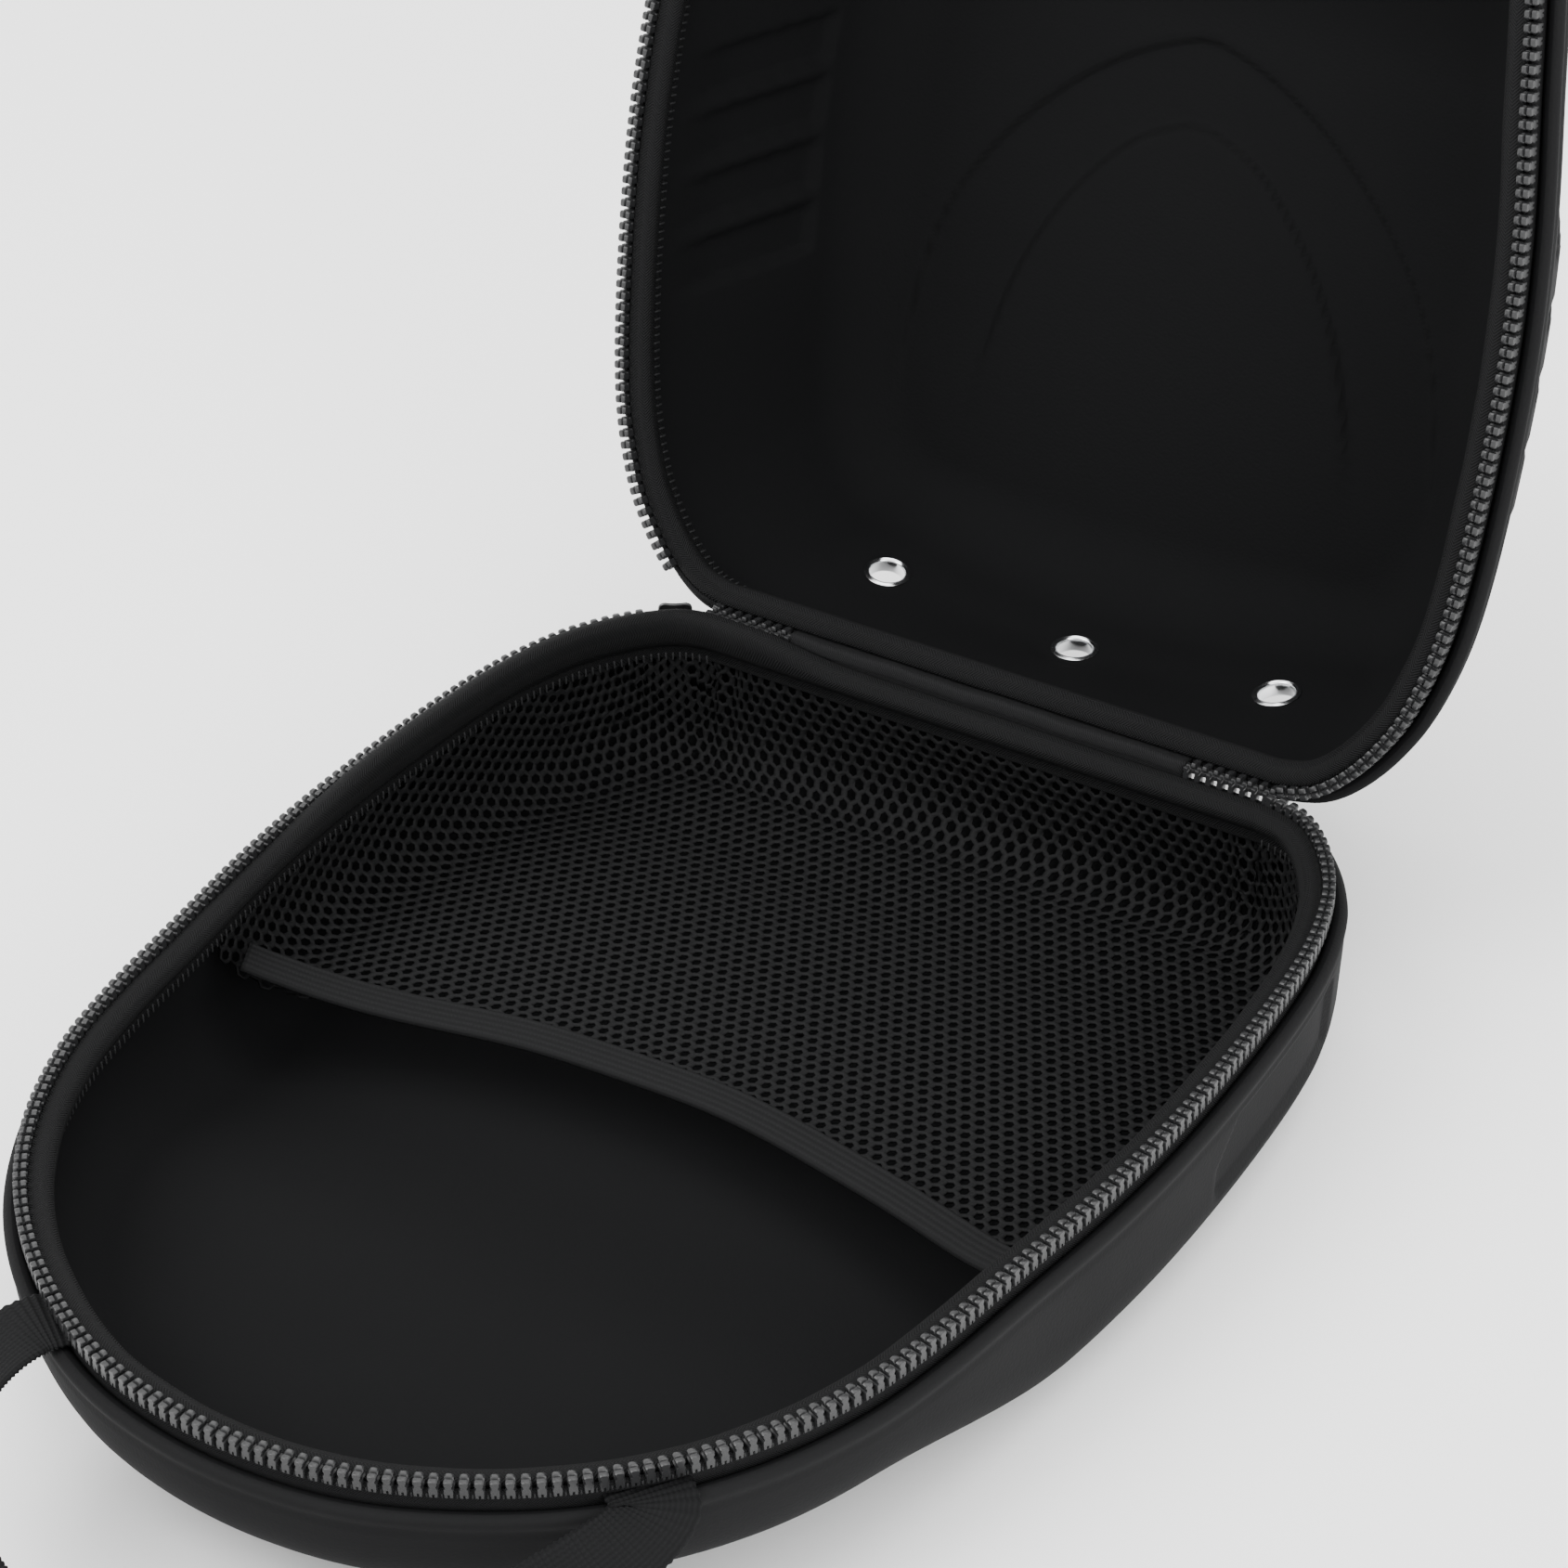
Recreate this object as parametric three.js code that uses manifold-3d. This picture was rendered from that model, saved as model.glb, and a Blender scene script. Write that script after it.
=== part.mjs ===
// A zip-round carrier case for one baseball cap, shown open: a shallow moulded
// base with a mesh pocket, and a deeper moulded lid on a cloth hinge.
// Millimetres, +Z up. The origin is on the flat underside of the base. The
// hinge is at the back (+Y) and the narrow end, for the peak, at the front.
import * as THREE from "three";
import { mergeVertices } from "three/addons/utils/BufferGeometryUtils.js";
import Module from "manifold-3d";

const wasm = await Module();
wasm.setup();

// Driving sizes.
const RIM_LENGTH = 300;         // zip line, from the hinge to the front tip
const OPEN_ANGLE = 103.3;       // lid angle from closed, degrees
const ORIGIN_BACK = 0.30;       // the origin's distance from the hinge, a share of RIM_LENGTH
const CLEAR = 0.3;              // gap between neighbouring pieces
const WALL = 3.2;               // moulded wall: foam board with cloth on both faces
const SEAM_DROP = 8;            // top edge of the moulded wall below the zip line
const TAPE_THICK = 1.2;
const TAPE_TOP = 3.2;           // top of the woven tape below the zip line
const TAPE_BOTTOM = 13;
const TAPE_LEAN = 0.5;          // the tape's foot leans in with the wall
const TEETH_THICK = 2.6;
const ROLL_RADIUS = 3;          // bound cloth roll inside each rim
const ROLL_DROP = 5.2;
const HINGE_HALF = 76;
const HINGE_GAP = 1;            // each hinge cloth stops this far from the turning line
const PEAK_STEP = { from: 0.52, to: 0.74 };   // where the crown depth eases into the peak depth

// Moulded forms: depth under the crown and the peak, radius between wall and
// floor, lean of the walls in degrees (rearDraft for the back wall), and how
// far the back wall bows out in the middle.
const BASE = { crown: 49, peak: 35, corner: 20, draft: 3.5, rearDraft: 3.5, bulge: 2.4 };
const LID = { crown: 79, peak: 56, corner: 27, draft: 25, rearDraft: 14, bulge: 7 };

// Half of the rim outline: back is the distance from the hinge and half is
// half the width, both as shares of RIM_LENGTH.
const RIM = [
  { back: 0.000, half: 0.262 },
  { back: 0.008, half: 0.292 },
  { back: 0.028, half: 0.318 },
  { back: 0.060, half: 0.343 },
  { back: 0.100, half: 0.363 },
  { back: 0.165, half: 0.380 },
  { back: 0.260, half: 0.389 },
  { back: 0.380, half: 0.392 },
  { back: 0.480, half: 0.387 },
  { back: 0.580, half: 0.375 },
  { back: 0.673, half: 0.363 },
  { back: 0.746, half: 0.346 },
  { back: 0.818, half: 0.314 },
  { back: 0.883, half: 0.266 },
  { back: 0.937, half: 0.202 },
  { back: 0.980, half: 0.120 },
  { back: 0.998, half: 0.040 },
];
const SIDE_STEPS = 47;          // steps from one hinge corner round the front to the other, odd
const REAR_STEPS = 5;           // steps along the hinge line, odd

// Rings of a moulded dish from the rim inwards. seam is the share of the
// upright band that holds the tape, wall the share of the leaning wall, turn
// the share of the rounded corner, and floor the share of the way from the
// corner's foot to the floor's middle line.
const DISH_RINGS = [
  { seam: 0, wall: 0.0, turn: 0.00, floor: 0.00 },
  { seam: 1, wall: 0.0, turn: 0.00, floor: 0.00 },
  { seam: 1, wall: 0.5, turn: 0.00, floor: 0.00 },
  { seam: 1, wall: 1.0, turn: 0.00, floor: 0.00 },
  { seam: 1, wall: 1.0, turn: 0.33, floor: 0.00 },
  { seam: 1, wall: 1.0, turn: 0.67, floor: 0.00 },
  { seam: 1, wall: 1.0, turn: 1.00, floor: 0.00 },
  { seam: 1, wall: 1.0, turn: 1.00, floor: 0.45 },
  { seam: 1, wall: 1.0, turn: 1.00, floor: 0.85 },
];
const SEAM_BAND = TAPE_BOTTOM + CLEAR - SEAM_DROP;
const SPINE = { from: 0.30, to: 0.68 };       // ends of the floor's middle line

// Mesh pocket over the back half of the base, with an elastic band on its
// free front edge. The edge is bowed: it meets the walls further forward.
const MESH_THICK = 1.2;
const MESH_FRONT = { middle: 0.427, side: 0.521 };
const MESH_LIFT = { from: 0.12, to: 0.52, height: 15 };
const BAND = { width: 9, thick: 1.6, steps: 12 };

// Moulded relief: an arch band on the lid's roof, slanted fins on its sides,
// and a shallow panel on each side of the base.
const ARCH_RAISE = 1.3;
const ARCH_OUTER = [
  { back: 0.100, half: 0.255 },
  { back: 0.150, half: 0.255 },
  { back: 0.220, half: 0.249 },
  { back: 0.290, half: 0.236 },
  { back: 0.350, half: 0.211 },
  { back: 0.410, half: 0.166 },
  { back: 0.460, half: 0.112 },
  { back: 0.495, half: 0.055 },
  { back: 0.515, half: 0.000 },
];
const ARCH_INNER = [
  { back: 0.085, half: 0.182 },
  { back: 0.130, half: 0.182 },
  { back: 0.200, half: 0.172 },
  { back: 0.270, half: 0.154 },
  { back: 0.330, half: 0.127 },
  { back: 0.380, half: 0.092 },
  { back: 0.420, half: 0.050 },
  { back: 0.442, half: 0.000 },
];
const FINS = { first: 0.236, pitch: 0.056, width: 0.042, count: 4, low: 14, high: 58, slant: 10, raise: 2.2 };
const SIDE_PANEL = { from: 0.135, to: 0.345, high: 14, low: 31, chamfer: 9, raise: -1.4 };

const GROMMET = { bore: 4.1, tube: 4.7, flange: 6.1, lip: 0.9, spread: 0.189, height: 47 };

// Webbing carry handle round the narrow end. x and back are shares of
// RIM_LENGTH, drop is below the zip line, and roll is the turn of the strap's
// face from lying flat, in degrees.
const STRAP = { width: 18, thick: 1.6, steps: 32 };
const STRAP_PATH = [
  { x: -0.160, back: 0.950, drop: 6.3, roll: 0 },
  { x: -0.178, back: 0.982, drop: 6.3, roll: 0 },
  { x: -0.178, back: 1.044, drop: 10.5, roll: 25 },
  { x: -0.124, back: 1.118, drop: 16.0, roll: 62 },
  { x: -0.026, back: 1.157, drop: 20.0, roll: 84 },
  { x: 0.066, back: 1.148, drop: 21.5, roll: 88 },
  { x: 0.152, back: 1.098, drop: 21.0, roll: 80 },
  { x: 0.238, back: 1.010, drop: 16.5, roll: 52 },
  { x: 0.289, back: 0.897, drop: 6.3, roll: 0 },
  { x: 0.263, back: 0.873, drop: 6.3, roll: 0 },
];

const SLIDER = { length: 9, width: 5, height: 4.8, drop: 3.4, tab: 17, tabWidth: 5, tabThick: 1.6 };

const BLACK_CLOTH = { color: 0x1b1c1e, roughness: 0.92, metalness: 0 };
const BLACK_LINING = { color: 0x151618, roughness: 0.95, metalness: 0 };
const BLACK_WEBBING = { color: 0x101113, roughness: 0.9, metalness: 0 };
const BLACK_PLASTIC = { color: 0x222325, roughness: 0.45, metalness: 0 };
const DARK_METAL = { color: 0x2a2b2d, roughness: 0.4, metalness: 0.7 };
const CHROME = { color: 0xd6d8da, roughness: 0.16, metalness: 1 };

const INNER_GROW = TAPE_THICK / 2 + CLEAR;    // inner face of a moulded wall, out from the zip line
const OUTER_GROW = INNER_GROW + WALL;
const rad = THREE.MathUtils.degToRad;
const lerp = THREE.MathUtils.lerp;

// Rim outline, clockwise from above: from the left hinge corner along the
// hinge to the right one, then round the front and back to the left.
function rimOutline() {
  const right = RIM.map((row) => new THREE.Vector2(row.half, -row.back));
  const left = RIM.map((row) => new THREE.Vector2(-row.half, -row.back)).reverse();
  const side = new THREE.SplineCurve([...right, ...left]).getSpacedPoints(SIDE_STEPS);
  const rear = [];
  for (let i = 0; i < REAR_STEPS; i += 1) {
    rear.push(new THREE.Vector2(RIM[0].half * (2 * i / REAR_STEPS - 1), 0));
  }
  return [...rear, ...side.slice(0, SIDE_STEPS)].map((p) => p.multiplyScalar(RIM_LENGTH));
}

const OUTLINE = rimOutline();
const COUNT = OUTLINE.length;
const NORMALS = OUTLINE.map((_, i) => {
  const before = OUTLINE[(i + COUNT - 1) % COUNT];
  const after = OUTLINE[(i + 1) % COUNT];
  const along = new THREE.Vector2().subVectors(after, before).normalize();
  return new THREE.Vector2(-along.y, along.x);
});

// Middle line of a floor nearest to y, and the direction from it to each rim
// point. A wall that leans in moves against that direction.
const spineAt = (y) => THREE.MathUtils.clamp(y, -SPINE.to * RIM_LENGTH, -SPINE.from * RIM_LENGTH);
const AWAY = OUTLINE.map((p) => new THREE.Vector2(p.x, p.y - spineAt(p.y)).normalize());

// Position-only geometry from rings of points, each ring joined to the next.
// A cap is a list of triangles, as places in its ring.
function ringsGeometry(rings, looped, caps) {
  const size = rings[0].length;
  const index = [];
  const at = (ring, i) => (ring % rings.length) * size + (i % size);
  for (let ring = 0; ring < rings.length - (looped ? 0 : 1); ring += 1) {
    for (let i = 0; i < size; i += 1) {
      index.push(at(ring, i), at(ring + 1, i), at(ring + 1, i + 1));
      index.push(at(ring, i), at(ring + 1, i + 1), at(ring, i + 1));
    }
  }
  for (const { ring, triangles, flip } of caps) {
    for (const [a, b, c] of triangles) {
      index.push(at(ring, a), at(ring, flip ? c : b), at(ring, flip ? b : c));
    }
  }
  const geometry = new THREE.BufferGeometry();
  const values = rings.flat().flatMap((p) => [p.x, p.y, p.z]);
  geometry.setAttribute("position", new THREE.BufferAttribute(new Float32Array(values), 3));
  geometry.setIndex(index);
  return geometry;
}

// Triangles across a convex ring of so many points.
function fan(size) {
  return Array.from({ length: size - 2 }, (_, i) => [0, i + 1, i + 2]);
}

// Triangles across a rim-shaped ring, rung by rung from the hinge to the front.
function rungs() {
  const triangles = [];
  const left = (k) => (COUNT - k) % COUNT;
  const right = (k) => REAR_STEPS + k;
  const middle = (REAR_STEPS - 1) / 2;
  for (let i = 0; i < REAR_STEPS; i += 1) {
    triangles.push([i, i + 1, i < middle ? left(1) : right(1)]);
  }
  triangles.push([middle, right(1), left(1)]);
  for (let k = 1; right(k) + 1 < left(k); k += 1) {
    triangles.push([left(k), right(k), right(k + 1)]);
    if (right(k + 1) !== left(k + 1)) {
      triangles.push([left(k), right(k + 1), left(k + 1)]);
    }
  }
  return triangles;
}

// A closed mesh as a solid, turned the right way out if it needs it.
function solid(geometry) {
  const bare = geometry.clone();
  bare.deleteAttribute("normal");
  bare.deleteAttribute("uv");
  const merged = mergeVertices(bare, 1e-4);
  const vertProperties = new Float32Array(merged.attributes.position.array);
  const triVerts = new Uint32Array(merged.index.array);
  const corner = (i) => new THREE.Vector3().fromArray(vertProperties, 3 * triVerts[i]);
  let volume = 0;
  for (let i = 0; i < triVerts.length; i += 3) {
    volume += corner(i).dot(corner(i + 1).cross(corner(i + 2)));
  }
  if (volume < 0) {
    for (let i = 0; i < triVerts.length; i += 3) {
      [triVerts[i], triVerts[i + 1]] = [triVerts[i + 1], triVerts[i]];
    }
  }
  return new wasm.Manifold(new wasm.Mesh({ numProp: 3, vertProperties, triVerts }));
}

function geometryOf(manifold) {
  const { numVert, numProp, vertProperties, triVerts } = manifold.simplify(0.004).getMesh();
  const values = new Float32Array(3 * numVert);
  for (let i = 0; i < numVert; i += 1) {
    values.set(vertProperties.subarray(i * numProp, i * numProp + 3), 3 * i);
  }
  const geometry = new THREE.BufferGeometry();
  geometry.setAttribute("position", new THREE.BufferAttribute(values, 3));
  geometry.setIndex(Array.from(triVerts));
  return geometry;
}

// Depth of a form under the zip line at y: deep under the crown, shallower
// under the peak, less any lift towards its front.
function depthAt(form, y) {
  const back = -y / RIM_LENGTH;
  const eased = THREE.MathUtils.smoothstep(back, PEAK_STEP.from, PEAK_STEP.to);
  const lift = form.lift
    ? form.lift.height * THREE.MathUtils.clamp((back - form.lift.from) / (form.lift.to - form.lift.from), 0, 1)
    : 0;
  return lerp(form.crown, form.peak, eased) - lift;
}

// Lean of the wall at a rim point, in radians.
function leanAt(form, i) {
  const rearward = Math.max(0, AWAY[i].y);
  return rad(lerp(form.draft, form.rearDraft, rearward * rearward));
}

// One point of a dish ring. grow is how far the wall stands out from the zip
// line; the floor and the corner's radius follow the wall's two faces.
function dishPoint(form, i, row, grow, top) {
  const inward = grow - OUTER_GROW;
  const lean = leanAt(form, i);
  const corner = form.corner + inward;
  const turn = lerp(lean, Math.PI / 2, row.turn);
  const cornerDrop = corner * (1 - Math.sin(lean));
  const drop = (depthAt(form, OUTLINE[i].y) + inward - cornerDrop - top - SEAM_BAND) * row.wall;
  const inset = drop * Math.tan(lean) + corner * (Math.cos(lean) - Math.cos(turn));
  const across = OUTLINE[i].x / (RIM[0].half * RIM_LENGTH);
  const bulge = i <= REAR_STEPS ? form.bulge * (1 - across * across) : 0;
  const out = grow + bulge * THREE.MathUtils.smoothstep(drop, 0, 5 * form.bulge);
  const x = lerp(OUTLINE[i].x + NORMALS[i].x * out - AWAY[i].x * inset, 0, row.floor);
  const wallY = OUTLINE[i].y + NORMALS[i].y * out - AWAY[i].y * inset;
  const y = lerp(wallY, spineAt(OUTLINE[i].y), row.floor);
  const straight = (depthAt(form, y) + inward - cornerDrop - top - SEAM_BAND) * row.wall + SEAM_BAND * row.seam;
  return new THREE.Vector3(x, y, -top - straight - corner * (Math.sin(turn) - Math.sin(lean)));
}

// A filled dish: all the space within one face of a moulded wall, flat on top.
function dish(form, grow, top) {
  const rings = DISH_RINGS.map((row) => OUTLINE.map((_, i) => dishPoint(form, i, row, grow, top)));
  const triangles = rungs();
  return solid(ringsGeometry(rings, false, [
    { ring: 0, triangles, flip: false },
    { ring: rings.length - 1, triangles, flip: true },
  ]));
}

// A strip of constant section along the rim. Each corner of the section is
// [out from the zip line, up from it]. Without a span it runs all the way round.
function rimStrip(section, span) {
  const places = span ?? OUTLINE.map((_, i) => i);
  const rings = places.map((i) => section.map(([out, up]) => new THREE.Vector3(
    OUTLINE[i].x + NORMALS[i].x * out,
    OUTLINE[i].y + NORMALS[i].y * out,
    up,
  )));
  const triangles = fan(section.length);
  return solid(ringsGeometry(rings, !span, span ? [
    { ring: 0, triangles, flip: false },
    { ring: rings.length - 1, triangles, flip: true },
  ] : []));
}

// A flat band swept along points, each with the direction of its width and
// the direction of its thickness.
function sweptBand(frames, width, thick) {
  const rings = frames.map(({ at, wide, face }) => [[-1, -1], [1, -1], [1, 1], [-1, 1]].map(([w, t]) => at.clone()
    .addScaledVector(wide, w * width / 2)
    .addScaledVector(face, t * thick / 2)));
  const triangles = fan(4);
  return solid(ringsGeometry(rings, false, [
    { ring: 0, triangles, flip: false },
    { ring: rings.length - 1, triangles, flip: true },
  ]));
}

// A prism of a flat outline, drawn in x and y and reaching from one z to another.
function prism(shape, from, to) {
  const geometry = new THREE.ExtrudeGeometry(shape, { depth: to - from, bevelEnabled: false });
  return geometry.translate(0, 0, from);
}

// A prism across the case, from an outline in y and z, reaching as far each way.
function crossPrism(points, reach = RIM_LENGTH) {
  const shape = new THREE.Shape(points.map(([y, z]) => new THREE.Vector2(y, z)));
  const geometry = prism(shape, -reach, reach);
  return solid(geometry.applyMatrix4(new THREE.Matrix4().makeBasis(
    new THREE.Vector3(0, 1, 0), new THREE.Vector3(0, 0, 1), new THREE.Vector3(1, 0, 0))));
}

// A moulded shell that opens upwards. A relief presses its window of the wall
// outwards (or inwards, if raise is below 0), so it shows on both faces.
function shell(form, reliefs) {
  const outer = dish(form, OUTER_GROW, SEAM_DROP);
  const inner = dish(form, INNER_GROW, SEAM_DROP - 0.01);
  let body = outer;
  let hollow = inner;
  for (const { window, raise } of reliefs) {
    const pressedBody = dish(form, OUTER_GROW + raise, SEAM_DROP);
    const pressedHollow = dish(form, INNER_GROW + raise, SEAM_DROP - 0.01);
    if (raise > 0) {
      body = body.add(pressedBody.intersect(window));
      hollow = hollow.add(pressedHollow.intersect(window));
    } else {
      body = body.subtract(window.subtract(pressedBody));
      hollow = hollow.subtract(window.subtract(pressedHollow));
    }
  }
  return body.subtract(hollow);
}

// The band between the two arches, through the roof only.
function archWindow() {
  const side = (rows, sign) => rows.map((row) => new THREE.Vector2(sign * row.half, -row.back));
  const arch = (rows) => [...side(rows, 1), ...side(rows, -1).reverse().slice(1)]
    .map((p) => p.multiplyScalar(RIM_LENGTH));
  const outer = solid(prism(new THREE.Shape(arch(ARCH_OUTER)), -LID.crown - 10, -LID.crown + 12));
  const inner = solid(prism(new THREE.Shape(arch(ARCH_INNER)), -LID.crown - 11, -LID.crown + 13));
  return outer.subtract(inner);
}

function finsWindow() {
  let windows = null;
  for (let i = 0; i < FINS.count; i += 1) {
    const back = -(FINS.first + i * FINS.pitch) * RIM_LENGTH;
    const front = back - FINS.width * RIM_LENGTH;
    const fin = crossPrism([
      [back, -FINS.low],
      [back - FINS.slant, -FINS.high],
      [front - FINS.slant, -FINS.high],
      [front, -FINS.low],
    ]);
    windows = windows ? windows.add(fin) : fin;
  }
  return windows;
}

function panelWindow() {
  const { from, to, high, low, chamfer } = SIDE_PANEL;
  return crossPrism([
    [-from * RIM_LENGTH, -high],
    [-from * RIM_LENGTH, -low],
    [-to * RIM_LENGTH, -low],
    [-to * RIM_LENGTH, -high - chamfer],
    [-to * RIM_LENGTH + chamfer, -high],
  ]);
}

// A pressed eyelet: a tube with a rounded flange on each side of the wall.
function eyelet(extra) {
  const half = WALL / 2;
  const profile = [
    [GROMMET.bore, -half - GROMMET.lip * 0.6],
    [GROMMET.bore + 0.7, -half - GROMMET.lip],
    [GROMMET.flange - 0.6 + extra, -half - GROMMET.lip],
    [GROMMET.flange + extra, -half + 0.3 - CLEAR],
    [GROMMET.tube + extra, -half + extra],
    [GROMMET.tube + extra, half - extra],
    [GROMMET.flange + extra, half - 0.3 + CLEAR],
    [GROMMET.flange - 0.6 + extra, half + GROMMET.lip],
    [GROMMET.bore + 0.7, half + GROMMET.lip],
    [GROMMET.bore, half + GROMMET.lip * 0.6],
  ].map(([r, z]) => new THREE.Vector2(r, z));
  return new THREE.LatheGeometry([...profile, profile[0]], 20);
}

// Place of an eyelet in the middle of the lid's back wall, with its +Y square
// to the wall. The wall's facet there has its corners on two rings.
function grommetFrame(side) {
  const x = side * GROMMET.spread * RIM_LENGTH;
  const i = Math.floor((x / (RIM[0].half * RIM_LENGTH) + 1) / 2 * REAR_STEPS);
  const corner = (k, ring) => dishPoint(LID, k, DISH_RINGS[ring], OUTER_GROW - WALL / 2, SEAM_DROP);
  const edge = (k) => {
    const [upper, lower] = [corner(k, 2), corner(k, 3)];
    return { at: upper.clone().lerp(lower, (-GROMMET.height - upper.z) / (lower.z - upper.z)), down: lower.sub(upper) };
  };
  const [from, to] = [edge(i), edge(i + 1)];
  const share = (x - from.at.x) / (to.at.x - from.at.x);
  const down = from.down.lerp(to.down, share);
  const axis = new THREE.Vector3().crossVectors(down, to.at.clone().sub(from.at)).normalize();
  return new THREE.Matrix4().compose(
    from.at.clone().lerp(to.at, share),
    new THREE.Quaternion().setFromUnitVectors(new THREE.Vector3(0, 1, 0), axis),
    new THREE.Vector3(1, 1, 1),
  );
}

const group = new THREE.Group();

function addPiece(parent, name, piece, look) {
  const geometry = piece.isBufferGeometry ? piece : geometryOf(piece);
  const mesh = new THREE.Mesh(geometry, new THREE.MeshStandardMaterial(look));
  mesh.name = name;
  parent.add(mesh);
  return mesh;
}

// Sections of the strips on each rim, as [out, up].
const half = TAPE_THICK / 2;
const tapeSection = [
  [-half, -TAPE_TOP - CLEAR], [half, -TAPE_TOP - CLEAR],
  [half - TAPE_LEAN, -TAPE_BOTTOM], [-half - TAPE_LEAN, -TAPE_BOTTOM],
];
const teethSection = [
  [-TEETH_THICK / 2, -CLEAR], [TEETH_THICK / 2, -CLEAR],
  [TEETH_THICK / 2, -TAPE_TOP], [-TEETH_THICK / 2, -TAPE_TOP],
];
const rollSection = Array.from({ length: 8 }, (_, i) => {
  const angle = (i + 0.5) * Math.PI / 4;
  const reach = ROLL_RADIUS / Math.cos(Math.PI / 8);
  return [-half - 2 * CLEAR - ROLL_RADIUS + reach * Math.cos(angle), -ROLL_DROP - reach * Math.sin(angle)];
});
const zipSpan = Array.from({ length: SIDE_STEPS - 1 }, (_, i) => REAR_STEPS + 1 + i);

// Base, with its rim at the height of the crown depth.
const base = new THREE.Group();
base.position.set(0, ORIGIN_BACK * RIM_LENGTH, BASE.crown);
group.add(base);

addPiece(base, "base_shell", shell(BASE, [{ window: panelWindow(), raise: SIDE_PANEL.raise }]), BLACK_CLOTH);
addPiece(base, "base_zipper_tape", rimStrip(tapeSection, zipSpan), BLACK_WEBBING);
addPiece(base, "base_zipper_teeth", rimStrip(teethSection, zipSpan), BLACK_PLASTIC);
addPiece(base, "base_rim_roll", rimStrip(rollSection), BLACK_LINING);

// Mesh pocket: a thin layer off the inner face, cut along its bowed front edge.
const meshForm = { ...BASE, lift: MESH_LIFT };
const meshOuter = -half - TAPE_LEAN - 3 * CLEAR;
const meshTop = ROLL_DROP + ROLL_RADIUS + CLEAR;
const frontEdge = (x) => {
  const share = x / (0.36 * RIM_LENGTH);
  return -RIM_LENGTH * lerp(MESH_FRONT.middle, MESH_FRONT.side, share * share);
};
const edgeXs = Array.from({ length: 17 }, (_, i) => (i / 8 - 1) * 0.44 * RIM_LENGTH);
const meshPlan = new THREE.Shape([
  new THREE.Vector2(0.44 * RIM_LENGTH, 20),
  new THREE.Vector2(-0.44 * RIM_LENGTH, 20),
  ...edgeXs.map((x) => new THREE.Vector2(x, frontEdge(x))),
]);
const meshLayer = dish(meshForm, meshOuter, meshTop)
  .subtract(dish(meshForm, meshOuter - MESH_THICK, meshTop - 0.01))
  .intersect(solid(prism(meshPlan, -BASE.crown, 0)));
addPiece(base, "mesh_pocket", meshLayer, BLACK_WEBBING);

// Elastic band just in front of the mesh's edge, from wall to wall.
const bandReach = 0.352 * RIM_LENGTH;
const bandFrames = Array.from({ length: BAND.steps + 1 }, (_, i) => {
  const x = lerp(-bandReach, bandReach, i / BAND.steps);
  const y = frontEdge(x) - CLEAR - BAND.width / 2;
  const rise = 10 * (x / bandReach) ** 6;
  const z = -depthAt(meshForm, y) + OUTER_GROW - meshOuter + MESH_THICK / 2 + rise;
  return { at: new THREE.Vector3(x, y, z), wide: new THREE.Vector3(0, 1, 0), face: new THREE.Vector3(0, 0, 1) };
});
addPiece(base, "pocket_edge_band", sweptBand(bandFrames, BAND.width, BAND.thick), BLACK_WEBBING);

// Handle: both ends sewn flat into the seam, its middle standing on edge.
const strapCurve = new THREE.CatmullRomCurve3(STRAP_PATH.map((row) => new THREE.Vector3(
  row.x * RIM_LENGTH, -row.back * RIM_LENGTH, -row.drop)));
const strapFrames = Array.from({ length: STRAP.steps + 1 }, (_, i) => {
  const t = i / STRAP.steps;
  const row = Math.min(Math.floor(t * (STRAP_PATH.length - 1)), STRAP_PATH.length - 2);
  const share = t * (STRAP_PATH.length - 1) - row;
  const roll = rad(lerp(STRAP_PATH[row].roll, STRAP_PATH[row + 1].roll, share));
  const along = strapCurve.getTangent(t);
  const level = new THREE.Vector3(0, 0, 1).cross(along).normalize();
  const face = along.clone().cross(level).normalize();
  return {
    at: strapCurve.getPoint(t),
    wide: level.clone().applyAxisAngle(along, roll),
    face: face.clone().applyAxisAngle(along, roll),
  };
});
const insideTape = prism(new THREE.Shape(OUTLINE.map((p, i) => p.clone()
  .addScaledVector(NORMALS[i], half + CLEAR))), -TAPE_BOTTOM, 0);
const strap = sweptBand(strapFrames, STRAP.width, STRAP.thick).subtract(solid(insideTape));
addPiece(base, "handle_strap", strap, BLACK_WEBBING);

// Cloth hinge along the back edge: one half sewn inside the base's wall, and
// one inside the lid's, meeting at the turning line.
const hingeCloth = () => crossPrism([
  [-half, -HINGE_GAP], [half, -HINGE_GAP],
  [half - TAPE_LEAN, -TAPE_BOTTOM], [-half - TAPE_LEAN, -TAPE_BOTTOM],
], HINGE_HALF);
addPiece(base, "base_hinge_cloth", hingeCloth(), BLACK_CLOTH);

// Zip slider, parked at the left end of the zip with its pull hanging outside.
const sliderFrom = OUTLINE[0];
const sliderTo = OUTLINE[COUNT - 1];
const sliderAlong = new THREE.Vector2().subVectors(sliderTo, sliderFrom).normalize();
const sliderBody = new THREE.BoxGeometry(SLIDER.length, SLIDER.width, SLIDER.height);
const pullTop = -SLIDER.height / 2 + 1.5;
const sliderPull = new THREE.BoxGeometry(SLIDER.tabWidth, SLIDER.tabThick, SLIDER.tab)
  .translate(0, SLIDER.width / 2 + SLIDER.tabThick / 2 - 0.4, pullTop - SLIDER.tab / 2 + 3);
const slider = addPiece(base, "zipper_slider", solid(sliderBody).add(solid(sliderPull)), DARK_METAL);
slider.rotation.z = Math.atan2(sliderAlong.y, sliderAlong.x) + Math.PI;
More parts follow.
